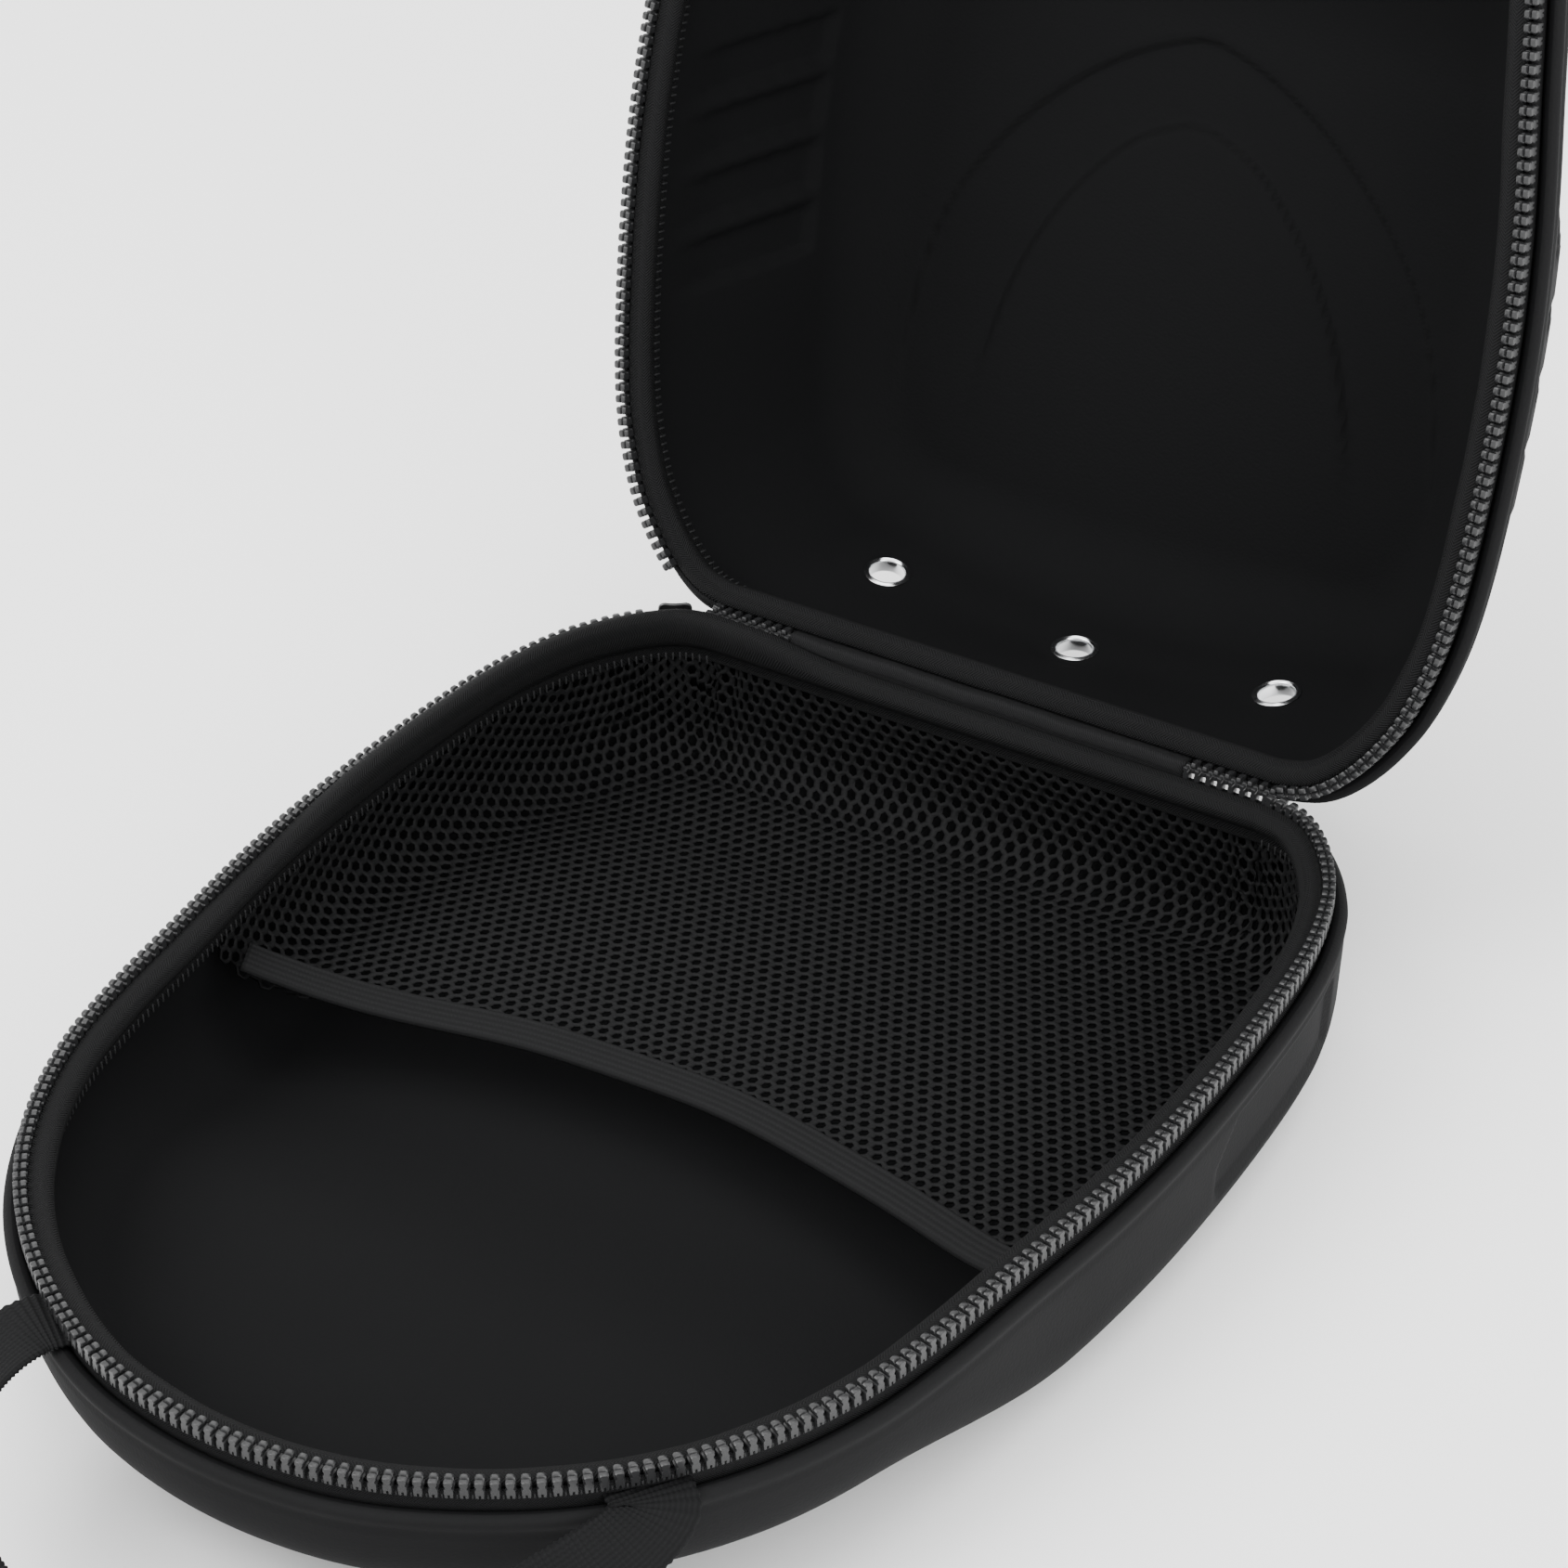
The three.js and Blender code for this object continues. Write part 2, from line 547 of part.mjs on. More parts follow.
const sliderAt = sliderTo.clone()
  .addScaledVector(sliderAlong, -SLIDER.length / 2 - 2 * CLEAR)
  .add(new THREE.Vector2(sliderAlong.y, -sliderAlong.x).multiplyScalar(SLIDER.width / 2 - 0.4));
slider.position.set(sliderAt.x, sliderAt.y, -SLIDER.drop);

// Lid: the same rim turned over, then swung open about the hinge line.
const hinge = new THREE.Group();
hinge.rotation.x = -rad(OPEN_ANGLE);
base.add(hinge);
const lid = new THREE.Group();
lid.rotation.y = Math.PI;
hinge.add(lid);

let lidShell = shell(LID, [
  { window: archWindow(), raise: ARCH_RAISE },
  { window: finsWindow(), raise: FINS.raise },
]);
const grommets = { grommet_left: 1, grommet_middle: 0, grommet_right: -1 };
for (const [name, side] of Object.entries(grommets)) {
  const matrix = grommetFrame(side);
  const bore = new THREE.CylinderGeometry(GROMMET.tube + CLEAR, GROMMET.tube + CLEAR, 4 * WALL, 20);
  const seatLength = 3;
  const seat = (sign) => new THREE.CylinderGeometry(GROMMET.flange + CLEAR, GROMMET.flange + CLEAR, seatLength, 20)
    .translate(0, sign * (WALL / 2 - CLEAR + seatLength / 2), 0);
  for (const cutter of [bore, seat(1), seat(-1)]) {
    lidShell = lidShell.subtract(solid(cutter.applyMatrix4(matrix)));
  }
  addPiece(lid, name, solid(eyelet(0).applyMatrix4(matrix)), CHROME);
}
addPiece(lid, "lid_shell", lidShell, BLACK_CLOTH);
addPiece(lid, "lid_hinge_cloth", hingeCloth(), BLACK_CLOTH);
addPiece(lid, "lid_zipper_tape", rimStrip(tapeSection, zipSpan), BLACK_WEBBING);
addPiece(lid, "lid_zipper_teeth", rimStrip(teethSection, zipSpan), BLACK_PLASTIC);
addPiece(lid, "lid_rim_roll", rimStrip(rollSection), BLACK_LINING);

export default group;
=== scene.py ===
import math

import bmesh
import bpy
import numpy as np
from mathutils import Matrix, Vector


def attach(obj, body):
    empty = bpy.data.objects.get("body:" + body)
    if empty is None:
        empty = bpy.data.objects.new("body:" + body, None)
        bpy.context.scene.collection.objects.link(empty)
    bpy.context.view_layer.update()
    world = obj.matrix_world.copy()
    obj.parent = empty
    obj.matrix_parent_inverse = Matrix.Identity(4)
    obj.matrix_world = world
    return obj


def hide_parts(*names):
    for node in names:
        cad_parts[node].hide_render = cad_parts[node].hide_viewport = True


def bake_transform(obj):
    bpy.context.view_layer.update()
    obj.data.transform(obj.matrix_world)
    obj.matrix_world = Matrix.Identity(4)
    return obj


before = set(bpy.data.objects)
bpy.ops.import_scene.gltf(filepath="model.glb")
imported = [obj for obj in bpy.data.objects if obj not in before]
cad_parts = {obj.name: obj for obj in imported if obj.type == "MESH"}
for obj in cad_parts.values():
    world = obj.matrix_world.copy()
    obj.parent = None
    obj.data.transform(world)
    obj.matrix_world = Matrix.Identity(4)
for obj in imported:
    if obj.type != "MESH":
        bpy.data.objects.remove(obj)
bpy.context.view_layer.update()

MM = 0.001
LENGTH = 300.0                  # zip line, hinge to front tip
OPEN_ANGLE = math.radians(103.3)
HINGE_AT = np.array([0.0, 90.0, 49.0])
INNER_GROW, OUTER_GROW = 0.9, 4.1
SEAM_DROP = 8.0
SEAM_BAND = 5.3                 # upright band under the wall's top edge, over the tape
PEAK_STEP = (0.52, 0.74)
BASE = {"crown": 49.0, "peak": 35.0, "corner": 20.0, "lean": 3.5, "rear_lean": 3.5, "bulge": 2.4}
LID = {"crown": 79.0, "peak": 56.0, "corner": 27.0, "lean": 25.0, "rear_lean": 14.0, "bulge": 7.0}
SPINE = (0.30, 0.68)
RIM = np.array([
    (0.000, 0.262), (0.008, 0.292), (0.028, 0.318), (0.060, 0.343), (0.100, 0.363), (0.165, 0.380),
    (0.260, 0.389), (0.380, 0.392), (0.480, 0.387), (0.580, 0.375), (0.673, 0.363), (0.746, 0.346),
    (0.818, 0.314), (0.883, 0.266), (0.937, 0.202), (0.980, 0.120), (0.998, 0.040),
])
ARCH_OUTER = [(0.100, 0.255), (0.150, 0.255), (0.220, 0.249), (0.290, 0.236), (0.350, 0.211),
              (0.410, 0.166), (0.460, 0.112), (0.495, 0.055), (0.515, 0.000)]
ARCH_INNER = [(0.085, 0.182), (0.130, 0.182), (0.200, 0.172), (0.270, 0.154), (0.330, 0.127),
              (0.380, 0.092), (0.420, 0.050), (0.442, 0.000)]
FINS = {"first": 0.236, "pitch": 0.056, "width": 0.042, "count": 4, "low": 20.0, "high": 58.0, "slant": 10.0}
PANEL = {"from": 0.135, "to": 0.345, "high": 14.0, "low": 31.0, "chamfer": 9.0}
FIN_RAISE, ARCH_RAISE, PANEL_PRESS = 2.2, 1.3, 1.4
LINE_WIDTH = 0.0013             # half the width of a moulded line, in metres
NO_LINE = 20.0                  # the distance given where no moulded line is near
TOOTH_PITCH = 3.0
CHAIN_END = 56.0                # the closed chain runs from the hinge corners in to this x
SEAM_STEPS = 7


# ---------- camera

def camera():
    """The photograph's view: turn, height, roll and framing as fitted to it."""
    turn, rise, roll = math.radians(36.79), math.radians(33.01), math.radians(-3.366)
    distance = 2.9198 * LENGTH * MM
    target = Vector((0, -0.5 * LENGTH, 0.3 * LENGTH)) + Vector(HINGE_AT)
    back = Vector((math.sin(turn) * math.cos(rise), -math.cos(turn) * math.cos(rise), math.sin(rise)))
    right = Vector((math.cos(turn), math.sin(turn), 0))
    up = back.cross(right)
    rolled_right = right * math.cos(roll) + up * math.sin(roll)
    rolled_up = up * math.cos(roll) - right * math.sin(roll)
    data = bpy.data.cameras.new("camera")
    data.lens = 36 * 4500 / 1689
    data.sensor_width = 36
    data.shift_x = 182.2 / 1689
    data.shift_y = -111.7 / 1689
    data.clip_start = 0.02
    obj = bpy.data.objects.new("camera", data)
    bpy.context.scene.collection.objects.link(obj)
    axes = Matrix((rolled_right, rolled_up, back)).transposed().to_4x4()
    obj.matrix_world = Matrix.Translation(target * MM + back * distance) @ axes
    bpy.context.scene.camera = obj


camera()


# ---------- materials

class Nodes:
    """A node tree with short ways to add what the materials here need."""

    def __init__(self, name):
        self.mat = bpy.data.materials.new(name)
        self.mat.use_nodes = True
        self.tree = self.mat.node_tree
        self.shader = self.tree.nodes["Principled BSDF"]
        coords = self.tree.nodes.new("ShaderNodeTexCoord")
        self.object = coords.outputs["Object"]

    def add(self, kind, values=None, **props):
        node = self.tree.nodes.new(kind)
        for key, value in props.items():
            setattr(node, key, value)
        for key, value in (values or {}).items():
            socket = node.inputs[key]
            if isinstance(value, bpy.types.NodeSocket):
                self.tree.links.new(value, socket)
            else:
                socket.default_value = value
        return node

    def math(self, op, a, b=0.0, c=0.0):
        return self.add("ShaderNodeMath", {0: a, 1: b, 2: c}, operation=op).outputs[0]

    def noise(self, scale, detail=2.0):
        values = {"Vector": self.object, "Scale": scale, "Detail": detail}
        return self.add("ShaderNodeTexNoise", values).outputs["Fac"]

    def cells(self, scale):
        values = {"Vector": self.object, "Scale": scale}
        return self.add("ShaderNodeTexVoronoi", values).outputs["Distance"]

    def strip(self):
        """Along and across a strip of cloth, in metres, from its mesh."""
        attr = self.add("ShaderNodeAttribute", attribute_name="strip")
        split = self.add("ShaderNodeSeparateXYZ", {0: attr.outputs["Vector"]})
        return split.outputs[0], split.outputs[1]

    def wave(self, value, pitch):
        """0 to 1 and back once each pitch."""
        turned = self.math("SINE", self.math("MULTIPLY", value, 2 * math.pi / pitch))
        return self.math("MULTIPLY_ADD", turned, 0.5, 0.5)

    def mix(self, factor, dark, light):
        node = self.add("ShaderNodeMix", {"Factor": factor}, data_type="RGBA")
        for key, value in (("A", dark), ("B", light)):
            socket = [s for s in node.inputs if s.name == key and s.type == "RGBA"][0]
            socket.default_value = (*value, 1)
        return [s for s in node.outputs if s.type == "RGBA"][0]

    def paint_shade(self, factor, tone):
        """Painted shade over the tone: nearly black where the factor is 1."""
        node = self.add("ShaderNodeMix", {"Factor": factor}, data_type="RGBA")
        first, second = [s for s in node.inputs if s.type == "RGBA"]
        self.tree.links.new(tone, first)
        second.default_value = (0.002, 0.002, 0.002, 1)
        return [s for s in node.outputs if s.type == "RGBA"][0]


def herringbone(n, pitch=0.00062, row=0.0024):
    """Slanted ribs that turn back every row."""
    along, across = n.strip()
    fold = n.math("PINGPONG", across, row)
    return n.wave(n.math("ADD", along, fold), pitch)


def ribs_along(n, pitch):
    """Ribs that run along a strip, crossed by finer threads."""
    along, across = n.strip()
    ribs = n.wave(across, pitch)
    crossing = n.wave(along, pitch * 0.6)
    return n.math("MULTIPLY", ribs, n.math("MULTIPLY_ADD", crossing, 0.4, 0.6))


def threads(n, pitch=0.0007):
    """The slanted plies of a sewing thread."""
    along, across = n.strip()
    slant = n.math("ADD", along, n.math("MULTIPLY", across, 0.7))
    return n.math("MULTIPLY", n.wave(slant, pitch), n.math("MULTIPLY_ADD", n.noise(2600), 0.6, 0.5))


def knit(n, scale=1300):
    """The small pebbled face of a laminated knit."""
    return n.math("SUBTRACT", 1.0, n.cells(scale))


def material(name, colour, rough, relief, depth, contrast=0.3, wear=0.12,
             metal=0.0, coat=0.0, spec=0.5, lines=False):
    """A principled material: a relief between 0 and 1 that shows in its bump
    and its colour, cloudy wear over larger patches and a fine grain. With
    lines it also presses the moulded lines of a shell into its bump and
    paints shade along them, as their grooves would be shaded."""
    n = Nodes(name)
    pattern = relief(n)
    cloud = n.noise(28, 4.0)
    grain = n.noise(1900, 3.0)
    shade = n.math("MULTIPLY_ADD", pattern, contrast, n.math("MULTIPLY", cloud, wear * 2))
    shade = n.math("ADD", shade, n.math("MULTIPLY_ADD", grain, 0.3, 0.2 - contrast / 2))
    low = tuple(c * (1 - contrast) for c in colour)
    high = tuple(min(1.0, c * (1 + contrast)) for c in colour)
    tone = n.mix(shade, low, high)
    n.tree.links.new(n.math("MULTIPLY_ADD", cloud, 0.14, rough - 0.07), n.shader.inputs["Roughness"])
    height = n.math("MULTIPLY_ADD", grain, 0.18, pattern)
    if lines:
        # Painted shade along the moulded lines, where their grooves would be shaded, and a dip in the bump
        # there, from the distance that the mesh carries.
        away = n.add("ShaderNodeAttribute", attribute_name="groove_shade_distance").outputs["Fac"]
        share = n.math("DIVIDE", n.math("ABSOLUTE", away), LINE_WIDTH)
        line = n.math("MAXIMUM", n.math("SUBTRACT", 1.0, share), 0.0)
        tone = n.paint_shade(n.math("MULTIPLY", line, 0.55), tone)
        height = n.math("MULTIPLY_ADD", line, -5.0, height)
    n.tree.links.new(tone, n.shader.inputs["Base Color"])
    bump = n.add("ShaderNodeBump", {"Height": height, "Strength": 0.8, "Distance": depth})
    n.tree.links.new(bump.outputs[0], n.shader.inputs["Normal"])
    n.shader.inputs["Metallic"].default_value = metal
    n.shader.inputs["Coat Weight"].default_value = coat
    n.shader.inputs["Specular IOR Level"].default_value = spec
    return n.mat


def speckle(n):
    """The faint mottle of a smooth surface."""
    return n.noise(700, 4.0)


def binding_weave(n):
    return herringbone(n, pitch=0.0008, row=0.0017)


def webbing_ribs(n):
    return ribs_along(n, pitch=0.0011)


def elastic_ribs(n):
    return ribs_along(n, pitch=0.0016)


SHELL_CLOTH = material("shell_cloth", (0.0068, 0.0069, 0.0072), 0.80, knit, 0.00007, 0.16,
                       spec=0.09, lines=True)
LINING = material("lining_cloth", (0.0046, 0.0047, 0.0050), 0.86, knit, 0.00006, 0.14,
                  spec=0.07, lines=True)
TAPE = material("zip_tape_twill", (0.0085, 0.0086, 0.0090), 0.78, herringbone, 0.00018, 0.5, spec=0.1)
BINDING = material("binding_twill", (0.0066, 0.0067, 0.0070), 0.76, binding_weave, 0.0003, 0.6, spec=0.1)
STITCH = material("stitch_thread", (0.020, 0.0203, 0.021), 0.65, threads, 0.00008, 0.3, spec=0.2)
WEBBING = material("webbing_weave", (0.0046, 0.0047, 0.0050), 0.74, webbing_ribs, 0.00014, 0.5, spec=0.1)
ELASTIC = material("elastic_ribs", (0.0066, 0.0067, 0.0070), 0.76, elastic_ribs, 0.00022, 0.5, spec=0.1)
NET = material("net_threads", (0.0058, 0.0059, 0.0062), 0.72, knit, 0.0001, 0.3, spec=0.12)
TEETH = material("teeth_plastic", (0.014, 0.0142, 0.0148), 0.34, speckle, 0.00002, 0.12,
                 wear=0.08, spec=0.4)
SLIDER = material("slider_enamel", (0.020, 0.0203, 0.021), 0.30, speckle, 0.00001, 0.15,
                  wear=0.25, metal=0.6, coat=0.3)
NICKEL = material("eyelet_nickel", (0.78, 0.79, 0.80), 0.16, speckle, 0.000006, 0.06,
                  wear=0.1, metal=1.0)
FLOOR = material("floor_paper", (0.97, 0.97, 0.97), 0.9, speckle, 0.00002, 0.01, wear=0.01)


# ---------- shapes

def place(points, side):
    """Shell-frame millimetres to row-frame metres. The lid is turned over and
    swung open about the hinge line."""
    p = np.array(points, dtype=float)
    if side == "lid":
        x, y, z = -p[..., 0], p[..., 1], -p[..., 2]
        c, s = math.cos(OPEN_ANGLE), math.sin(OPEN_ANGLE)
        p = np.stack([x, y * c + z * s, z * c - y * s], axis=-1)
    return (p + HINGE_AT) * MM


def smooth(x):
    x = np.clip(x, 0, 1)
    return x * x * (3 - 2 * x)


def spline(points, steps=40):
    """Catmull-Rom through the points."""
    p = np.asarray(points, dtype=float)
    padded = np.vstack([p[:1], p, p[-1:]])
    t = np.linspace(0, 1, steps, endpoint=False)[:, None]
    parts = []
    for p0, p1, p2, p3 in zip(padded, padded[1:], padded[2:], padded[3:]):
        v0, v1 = (p2 - p0) / 2, (p3 - p1) / 2
        cube, square = 2 * p1 - 2 * p2 + v0 + v1, -3 * p1 + 3 * p2 - 2 * v0 - v1
        parts.append(cube * t**3 + square * t**2 + v0 * t + p1)
    return np.vstack([*parts, p[-1:]])


def lengths(line):
    """How far each point of a polyline lies along it."""
    return np.concatenate([[0], np.cumsum(np.linalg.norm(np.diff(line, axis=0), axis=1))])


def resample(line, at):
    """Points at given distances along a polyline."""
    run = lengths(line)
    return np.stack([np.interp(at, run, line[:, k]) for k in range(line.shape[1])], axis=1)


def rim_side():
    """The rim from one hinge corner round the front to the other."""
    right = np.stack([RIM[:, 1], -RIM[:, 0]], axis=1)
    left = np.stack([-RIM[:, 1], -RIM[:, 0]], axis=1)[::-1]
    return spline(np.vstack([right, left])) * LENGTH


SIDE = rim_side()
SIDE_LENGTH = lengths(SIDE)[-1]
HALF_REAR = RIM[0, 1] * LENGTH


def outline(side_steps, rear_steps):
    """The closed rim from the hinge's middle round by the right: points and
    outward directions. Point i and point -i are mirror images."""
    side = resample(SIDE, np.linspace(0, SIDE_LENGTH, side_steps + 1))
    rear = np.linspace(0, HALF_REAR, rear_steps + 1)[:-1]
    right = np.stack([rear, 0 * rear], axis=1)
    left = np.stack([-rear[:0:-1], 0 * rear[:0:-1]], axis=1)
    points = np.vstack([right, side, left])
    along = np.roll(points, -1, axis=0) - np.roll(points, 1, axis=0)
    along /= np.linalg.norm(along, axis=1)[:, None]
    # The directions turn slowly enough that a ring 40 mm inside has no fold.
    for _ in range(60):
        along = np.roll(along, -1, axis=0) + 2 * along + np.roll(along, 1, axis=0)
        along /= np.linalg.norm(along, axis=1)[:, None]
    return points, np.stack([-along[:, 1], along[:, 0]], axis=1)


def depth_at(form, y):
    """The shell's depth: deep at the crown, less under the peak. A form with
    lift also rises towards the front."""
    back = -y / LENGTH
    eased = smooth((back - PEAK_STEP[0]) / (PEAK_STEP[1] - PEAK_STEP[0]))
    lift = form.get("lift")
    raised = lift[2] * np.clip((back - lift[0]) / (lift[1] - lift[0]), 0, 1) if lift else 0
    return form["crown"] + (form["peak"] - form["crown"]) * eased - raised


def spine_at(y):
    """The place on the floor's middle line that a wall leans towards."""
    return np.clip(y, -SPINE[1] * LENGTH, -SPINE[0] * LENGTH)


def dish(form, points, normals, grow, top, rows):
    """Rings of a moulded wall, one for each (seam, wall, turn, floor) row. A
    wall that leans in moves towards the floor's middle line."""
    inward = grow - OUTER_GROW
    corner = form["corner"] + inward
    spine = spine_at(points[:, 1])
    away = points - np.stack([0 * spine, spine], axis=1)
    away /= np.linalg.norm(away, axis=1)[:, None]
    rearward = np.maximum(0, away[:, 1]) ** 2
    lean = np.radians(form["lean"] + (form["rear_lean"] - form["lean"]) * rearward)
    corner_drop = corner * (1 - np.sin(lean))
    spare = inward - corner_drop - top - SEAM_BAND
    on_rear = (np.abs(points[:, 1]) < 1e-6) * np.clip(1 - (points[:, 0] / HALF_REAR) ** 2, 0, 1)
    rings = []
    for seam, wall, turn, floor in rows:
        drop = (depth_at(form, points[:, 1]) + spare) * wall
        angle = lean + (math.pi / 2 - lean) * turn
        # The wall eases from upright to leaning over a few millimetres.
        below = drop + SEAM_BAND * (seam - 1)
        leaning = (below + np.sqrt(below**2 + 4)) / 2
        inset = leaning * np.tan(lean) + corner * (np.cos(lean) - np.cos(angle))
        out = grow + form["bulge"] * on_rear * smooth(drop / (5 * form["bulge"]))
        x = (points[:, 0] + normals[:, 0] * out - away[:, 0] * inset) * (1 - floor)
        y = points[:, 1] + normals[:, 1] * out - away[:, 1] * inset
        y = y + (spine - y) * floor
        straight = (depth_at(form, y) + spare) * wall + SEAM_BAND * seam
        z = -top - straight - corner * (np.sin(angle) - np.sin(lean))
        rings.append(np.stack([x, y, z], axis=1))
    return np.array(rings)


def rows_of(walls, turns, floors, end=0.965):
    """Rows for dish(): down the seam band and the wall, round the corner and
    over the floor nearly to its middle line."""
    rows = [(s, 0, 0, 0) for s in np.linspace(0, 1, SEAM_STEPS + 1)]
    rows += [(1, w, 0, 0) for w in np.linspace(0, 1, walls + 1)[1:]]
    rows += [(1, 1, t, 0) for t in np.linspace(0, 1, turns + 1)[1:]]
    return rows + [(1, 1, 1, f) for f in end * np.linspace(0, 1, floors + 1)[1:]]


def edge_distance(points, polygon):
    """Distance to a closed polygon's edge, positive inside it."""
    a = np.asarray(polygon, dtype=float)
    b = np.roll(a, -1, axis=0)
    best = np.full(len(points), 1e9)
    inside = np.zeros(len(points), dtype=bool)
    for p, q in zip(a, b):
        d = q - p
        if not d.any():
            continue
        t = np.clip(((points - p) @ d) / (d @ d), 0, 1)
        best = np.minimum(best, np.linalg.norm(points - p - t[:, None] * d, axis=1))
        if p[1] != q[1]:
            over = (p[1] > points[:, 1]) != (q[1] > points[:, 1])
            inside ^= over & (points[:, 0] < p[0] + d[0] * (points[:, 1] - p[1]) / d[1])
    return np.where(inside, best, -best)


def line_distance(points, line):
    """Distance to a polyline, whose ends stay open."""
    best = np.full(len(points), 1e9)
    for p, q in zip(line, line[1:]):
        d = q - p
        if d.any():
            t = np.clip(((points - p) @ d) / (d @ d), 0, 1)
            best = np.minimum(best, np.linalg.norm(points - p - t[:, None] * d, axis=1))
    return best


def arch_polygon(rows):
    """An arch on the lid's roof in plan, from its right half."""
    line = spline(rows, 8)
    right = np.stack([line[:, 1], -line[:, 0]], axis=1) * LENGTH
    return np.vstack([right, (right * [-1, 1])[::-1]])


def lid_relief(p):
    """How far each point of the lid is pressed outwards, and how far it lies
    from the nearest pressed line, in millimetres."""
    roof = smooth((-p[:, 2] - LID["crown"] + 16) / 4)
    # The arches fade out towards the hinge.
    shown = smooth((-p[:, 1] / LENGTH - 0.11) / 0.13) * roof
    plan = p[:, :2]
    outer = edge_distance(plan, arch_polygon(ARCH_OUTER))
    inner = edge_distance(plan, arch_polygon(ARCH_INNER))
    arch = smooth(outer / 1.5 + 0.5) * smooth(-inner / 1.5 + 0.5) * shown
    lines = [line_distance(plan, arch_polygon(rows)) for rows in (ARCH_OUTER, ARCH_INNER)]
    near = np.minimum(*lines) + 2.2 * (1 - shown) + NO_LINE * (1 - roof)
    fins = np.zeros(len(p))
    for i in range(FINS["count"]):
        back = -(FINS["first"] + i * FINS["pitch"]) * LENGTH
        front = back - FINS["width"] * LENGTH
        quad = [(back, -FINS["low"]), (back - FINS["slant"], -FINS["high"]),
                (front - FINS["slant"], -FINS["high"]), (front, -FINS["low"])]
        fins = np.maximum(fins, smooth(edge_distance(p[:, 1:], quad) / 1.2 + 0.4))
    # The fins rise out of the wall over their top few millimetres.
    return ARCH_RAISE * arch + FIN_RAISE * fins * smooth((-p[:, 2] - 18) / 16), near


def base_relief(p):
    """The shallow panel pressed into each side wall of the base."""
    near, far = -PANEL["from"] * LENGTH, -PANEL["to"] * LENGTH
    high, low, chamfer = -PANEL["high"], -PANEL["low"], PANEL["chamfer"]
    panel = [(near, high), (near, low), (far, low), (far, high - chamfer), (far + chamfer, high)]
    return -PANEL_PRESS * smooth(edge_distance(p[:, 1:], panel) / 2.6 + 0.5), np.full(len(p), NO_LINE)


def pressed(form, points, normals, grow, top, rows, relief):
    """The dish with its relief, and each point's distance to a moulded line."""
    plain = dish(form, points, normals, grow, top, rows)
    flat = plain.reshape(-1, 3)
    raise_by, near = relief(flat)
    size = FIN_RAISE if raise_by.max() > 0 else -PANEL_PRESS
    full = dish(form, points, normals, grow + size, top, rows).reshape(-1, 3)
    moved = flat + (raise_by / size)[:, None] * (full - flat)
    return moved.reshape(plain.shape), near.reshape(plain.shape[:2])


# ---------- meshes

def mesh_object(name, points, faces, mats, strip=None, parts=None, smooth_faces=True):
    """A mesh in the row frame. parts gives each face's place in mats, strip
    each point's place along and across a strip of cloth."""
    mesh = bpy.data.meshes.new(name)
    mesh.from_pydata(np.asarray(points).reshape(-1, 3).tolist(), [], faces)
    for mat in mats:
        mesh.materials.append(mat)
    if parts is not None:
        mesh.polygons.foreach_set("material_index", np.asarray(parts, dtype=np.int32))
    mesh.polygons.foreach_set("use_smooth", [smooth_faces] * len(faces))
    if strip is not None:
        layer = mesh.attributes.new("strip", "FLOAT_VECTOR", "POINT")
        layer.data.foreach_set("vector", np.asarray(strip, dtype=np.float32).reshape(-1))
    mesh.update()
    obj = bpy.data.objects.new(name, mesh)
    bpy.context.scene.collection.objects.link(obj)
    return obj


def dress(obj, body, slot, *nodes):
    """Says which body a piece rides on and the CAD nodes that it stands for,
    which are hidden. slot is not used."""
    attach(obj, body)
    if nodes:
        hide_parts(*nodes)


def grid(rows, columns, close_columns=False, close_rows=False, start=0):
    """Quads over rows of points, each row joined to the next."""
    r = np.arange(rows if close_rows else rows - 1)[:, None]
    c = np.arange(columns if close_columns else columns - 1)[None, :]
    r2, c2 = (r + 1) % rows, (c + 1) % columns
    corners = (r * columns + c, r * columns + c2, r2 * columns + c2, r2 * columns + c)
    return (np.stack(np.broadcast_arrays(*corners), axis=-1).reshape(-1, 4) + start).tolist()


def sharp_edges(obj, angle=32):
    """Keeps smooth shading, with edges sharper than the angle left crisp."""
    obj.data.set_sharp_from_angle(angle=math.radians(angle))


def sweep(name, path, wide, face, profile, mats, side, ends=True):
    """A closed profile of (wide, face) places carried along a path. strip holds
    the distance along the path and round the profile."""
    run = lengths(path)
    profile = np.asarray(profile, dtype=float)
    if profile.ndim == 2:
        profile = np.broadcast_to(profile, (len(path), *profile.shape))
    points = path[:, None] + profile[..., :1] * wide[:, None] + profile[..., 1:] * face[:, None]
    count = profile.shape[1]
    # The first point of the profile comes twice, so that strip has no jump.
    points = np.concatenate([points, points[:, :1]], axis=1)
    ring = np.vstack([profile[0], profile[0][:1]])
    around = lengths(ring)
    strip = np.zeros((len(path), count + 1, 3))
    strip[..., 0] = run[:, None] * MM
    strip[..., 1] = around[None] * MM
    faces = grid(len(path), count + 1)
    faces = [f[::-1] for f in faces]
    if ends:
        faces.append(list(range(count)))
        faces.append([(len(path) - 1) * (count + 1) + i for i in range(count)][::-1])
    obj = mesh_object(name, place(points, side), faces, mats, strip)
    weld(obj)
    return obj


def weld(obj):
    """Gives the doubled points of a seam the same normal, so that no crease
    shows. They stay two points, because strip differs between them."""
    mesh = obj.data
    count = len(mesh.vertices)
    co = np.empty(count * 3)
    mesh.vertices.foreach_get("co", co)
    key = np.round(co.reshape(-1, 3) * 1e7).astype(np.int64)
    _, inverse = np.unique(key, axis=0, return_inverse=True)
    inverse = inverse.reshape(-1)
    normals = np.array([v.vector for v in mesh.vertex_normals])
    total = np.zeros((inverse.max() + 1, 3))
    np.add.at(total, inverse, normals)
    total /= np.maximum(np.linalg.norm(total, axis=1), 1e-9)[:, None]
    mesh.normals_split_custom_set_from_vertices(total[inverse].tolist())


